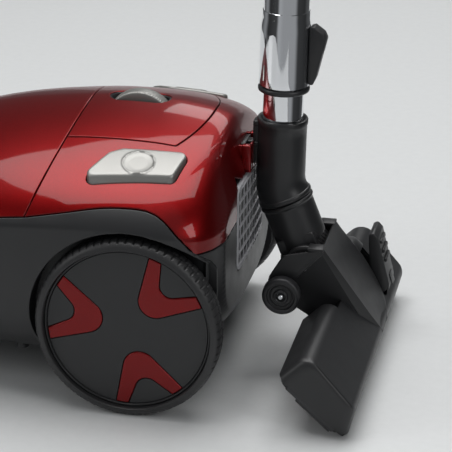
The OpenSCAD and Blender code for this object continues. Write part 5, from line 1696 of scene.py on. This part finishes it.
# ---------------------------------------------------------------- studio
def studio(name, col, rough):
    g = Graph(name)
    g.shader(Base_Color=g.ramp(g.noise(120, 3, 0.5), (0.3, tint(col, 0.985)), (0.7, tint(col, 1.015))),
             Roughness=rough)
    return g.mat


# The floor is a table: wide enough for the picture, and narrow enough that the chrome sees past it
TABLE_X = (-0.75, 0.52)
TABLE_FRONT, TABLE_BACK = -0.8, 2.2


def sweep_floor():
    """A pale floor that curves up into a backdrop."""
    prof = [(TABLE_FRONT, 0.0)]
    for k in range(13):
        a = math.pi / 2 * k / 12
        prof.append((TABLE_BACK + 0.3 * math.sin(a), 0.3 - 0.3 * math.cos(a)))
    vs, fs = [], []
    for y, z in prof:
        vs += [(TABLE_X[0], y, z), (TABLE_X[1], y, z)]
    for i in range(len(prof) - 1):
        fs.append((2 * i, 2 * i + 1, 2 * i + 3, 2 * i + 2))
    me = bpy.data.meshes.new("studio_floor")
    me.from_pydata(vs, [], fs)
    me.shade_smooth()
    ob = bpy.data.objects.new("studio_floor", me)
    bpy.context.scene.collection.objects.link(ob)
    me.materials.append(studio("mat_studio", (0.68, 0.69, 0.69), 0.28))


sweep_floor()


def area(name, at, aim, size, power):
    li = bpy.data.lights.new(name, "AREA")
    li.shape = "RECTANGLE"
    li.size, li.size_y = size
    li.energy = power
    ob = bpy.data.objects.new(name, li)
    bpy.context.scene.collection.objects.link(ob)
    ob.location = at
    ob.rotation_euler = (Vector(aim) - Vector(at)).to_track_quat("-Z", "Y").to_euler()


area("light_top", (-0.1, 0.35, 2.2), (0, 0.1, 0.1), (2.2, 1.5), 46)
area("light_left", (-2.0, -1.2, 1.3), (0, 0, 0.1), (0.9, 1.4), 12)
area("light_right", (1.9, -1.1, 1.2), (0, 0, 0.15), (0.5, 1.4), 10)
area("light_back", (0.3, 2.1, 2.0), (0, 0.9, 0), (1.4, 0.6), 12)

wd = bpy.data.worlds.new("studio_world")
wd.use_nodes = True
bg = wd.node_tree.nodes["Background"]
bg.inputs[1].default_value = 1.0
nt = wd.node_tree
tc, sp, at = (nt.nodes.new("ShaderNode" + k) for k in ("TexCoord", "SeparateXYZ", "Math"))
at.operation = "ARCTAN2"
nt.links.new(tc.outputs["Generated"], sp.inputs[0])
nt.links.new(sp.outputs[0], at.inputs[0])
nt.links.new(sp.outputs[1], at.inputs[1])
mr = nt.nodes.new("ShaderNodeMapRange")
mr.inputs["From Min"].default_value, mr.inputs["From Max"].default_value = -math.pi, math.pi
nt.links.new(at.outputs[0], mr.inputs["Value"])
rp = nt.nodes.new("ShaderNodeValToRGB")
rp.color_ramp.interpolation = "EASE"
# Soft boxes and dark gaps round the room, by bearing from straight behind the camera
ROOM = [(0.0, 0.30), (0.06, 0.36), (0.10, 0.05), (0.21, 0.03), (0.27, 0.22), (0.36, 0.08), (0.5, 0.16),
        (0.64, 0.07), (0.69, 0.03), (0.80, 0.04), (0.86, 0.30), (1.0, 0.30)]
for i, (at_x, level) in enumerate(ROOM):
    el = rp.color_ramp.elements[i] if i < 2 else rp.color_ramp.elements.new(at_x)
    el.position = at_x
    el.color = (level * 0.94, level * 0.97, level, 1)
nt.links.new(mr.outputs[0], rp.inputs[0])
nt.links.new(rp.outputs[0], bg.inputs[0])
bpy.context.scene.world = wd
scene = bpy.context.scene
scene.view_settings.view_transform = "Standard"
scene.view_settings.look = "None"

# The camera, solved from known widths and axes of the object.
CAM_F, CAM_E, CAM_A, CAM_ROLL = 2065.18, math.radians(22.49), math.radians(12.01), math.radians(0.54)
CAM_AT = (371.913, -1519.29, 752.981)
FRAME_PX = 452
fwd = Vector((-math.sin(CAM_A) * math.cos(CAM_E), math.cos(CAM_A) * math.cos(CAM_E), -math.sin(CAM_E)))
right = Vector((math.cos(CAM_A), math.sin(CAM_A), 0))
upv = right.cross(fwd)
r2 = math.cos(CAM_ROLL) * right + math.sin(CAM_ROLL) * upv
u2 = -math.sin(CAM_ROLL) * right + math.cos(CAM_ROLL) * upv
cam = bpy.data.cameras.new("photo_camera")
cam.sensor_width = 36
cam.lens = CAM_F / FRAME_PX * 36
cam.clip_end = 30
camo = bpy.data.objects.new("photo_camera", cam)
scene.collection.objects.link(camo)
camo.matrix_world = Matrix.Translation(Vector(world(CAM_AT)[0])) @ Matrix((r2, u2,
        -fwd)).transposed().to_4x4()
scene.camera = camo

bpy.context.view_layer.update()
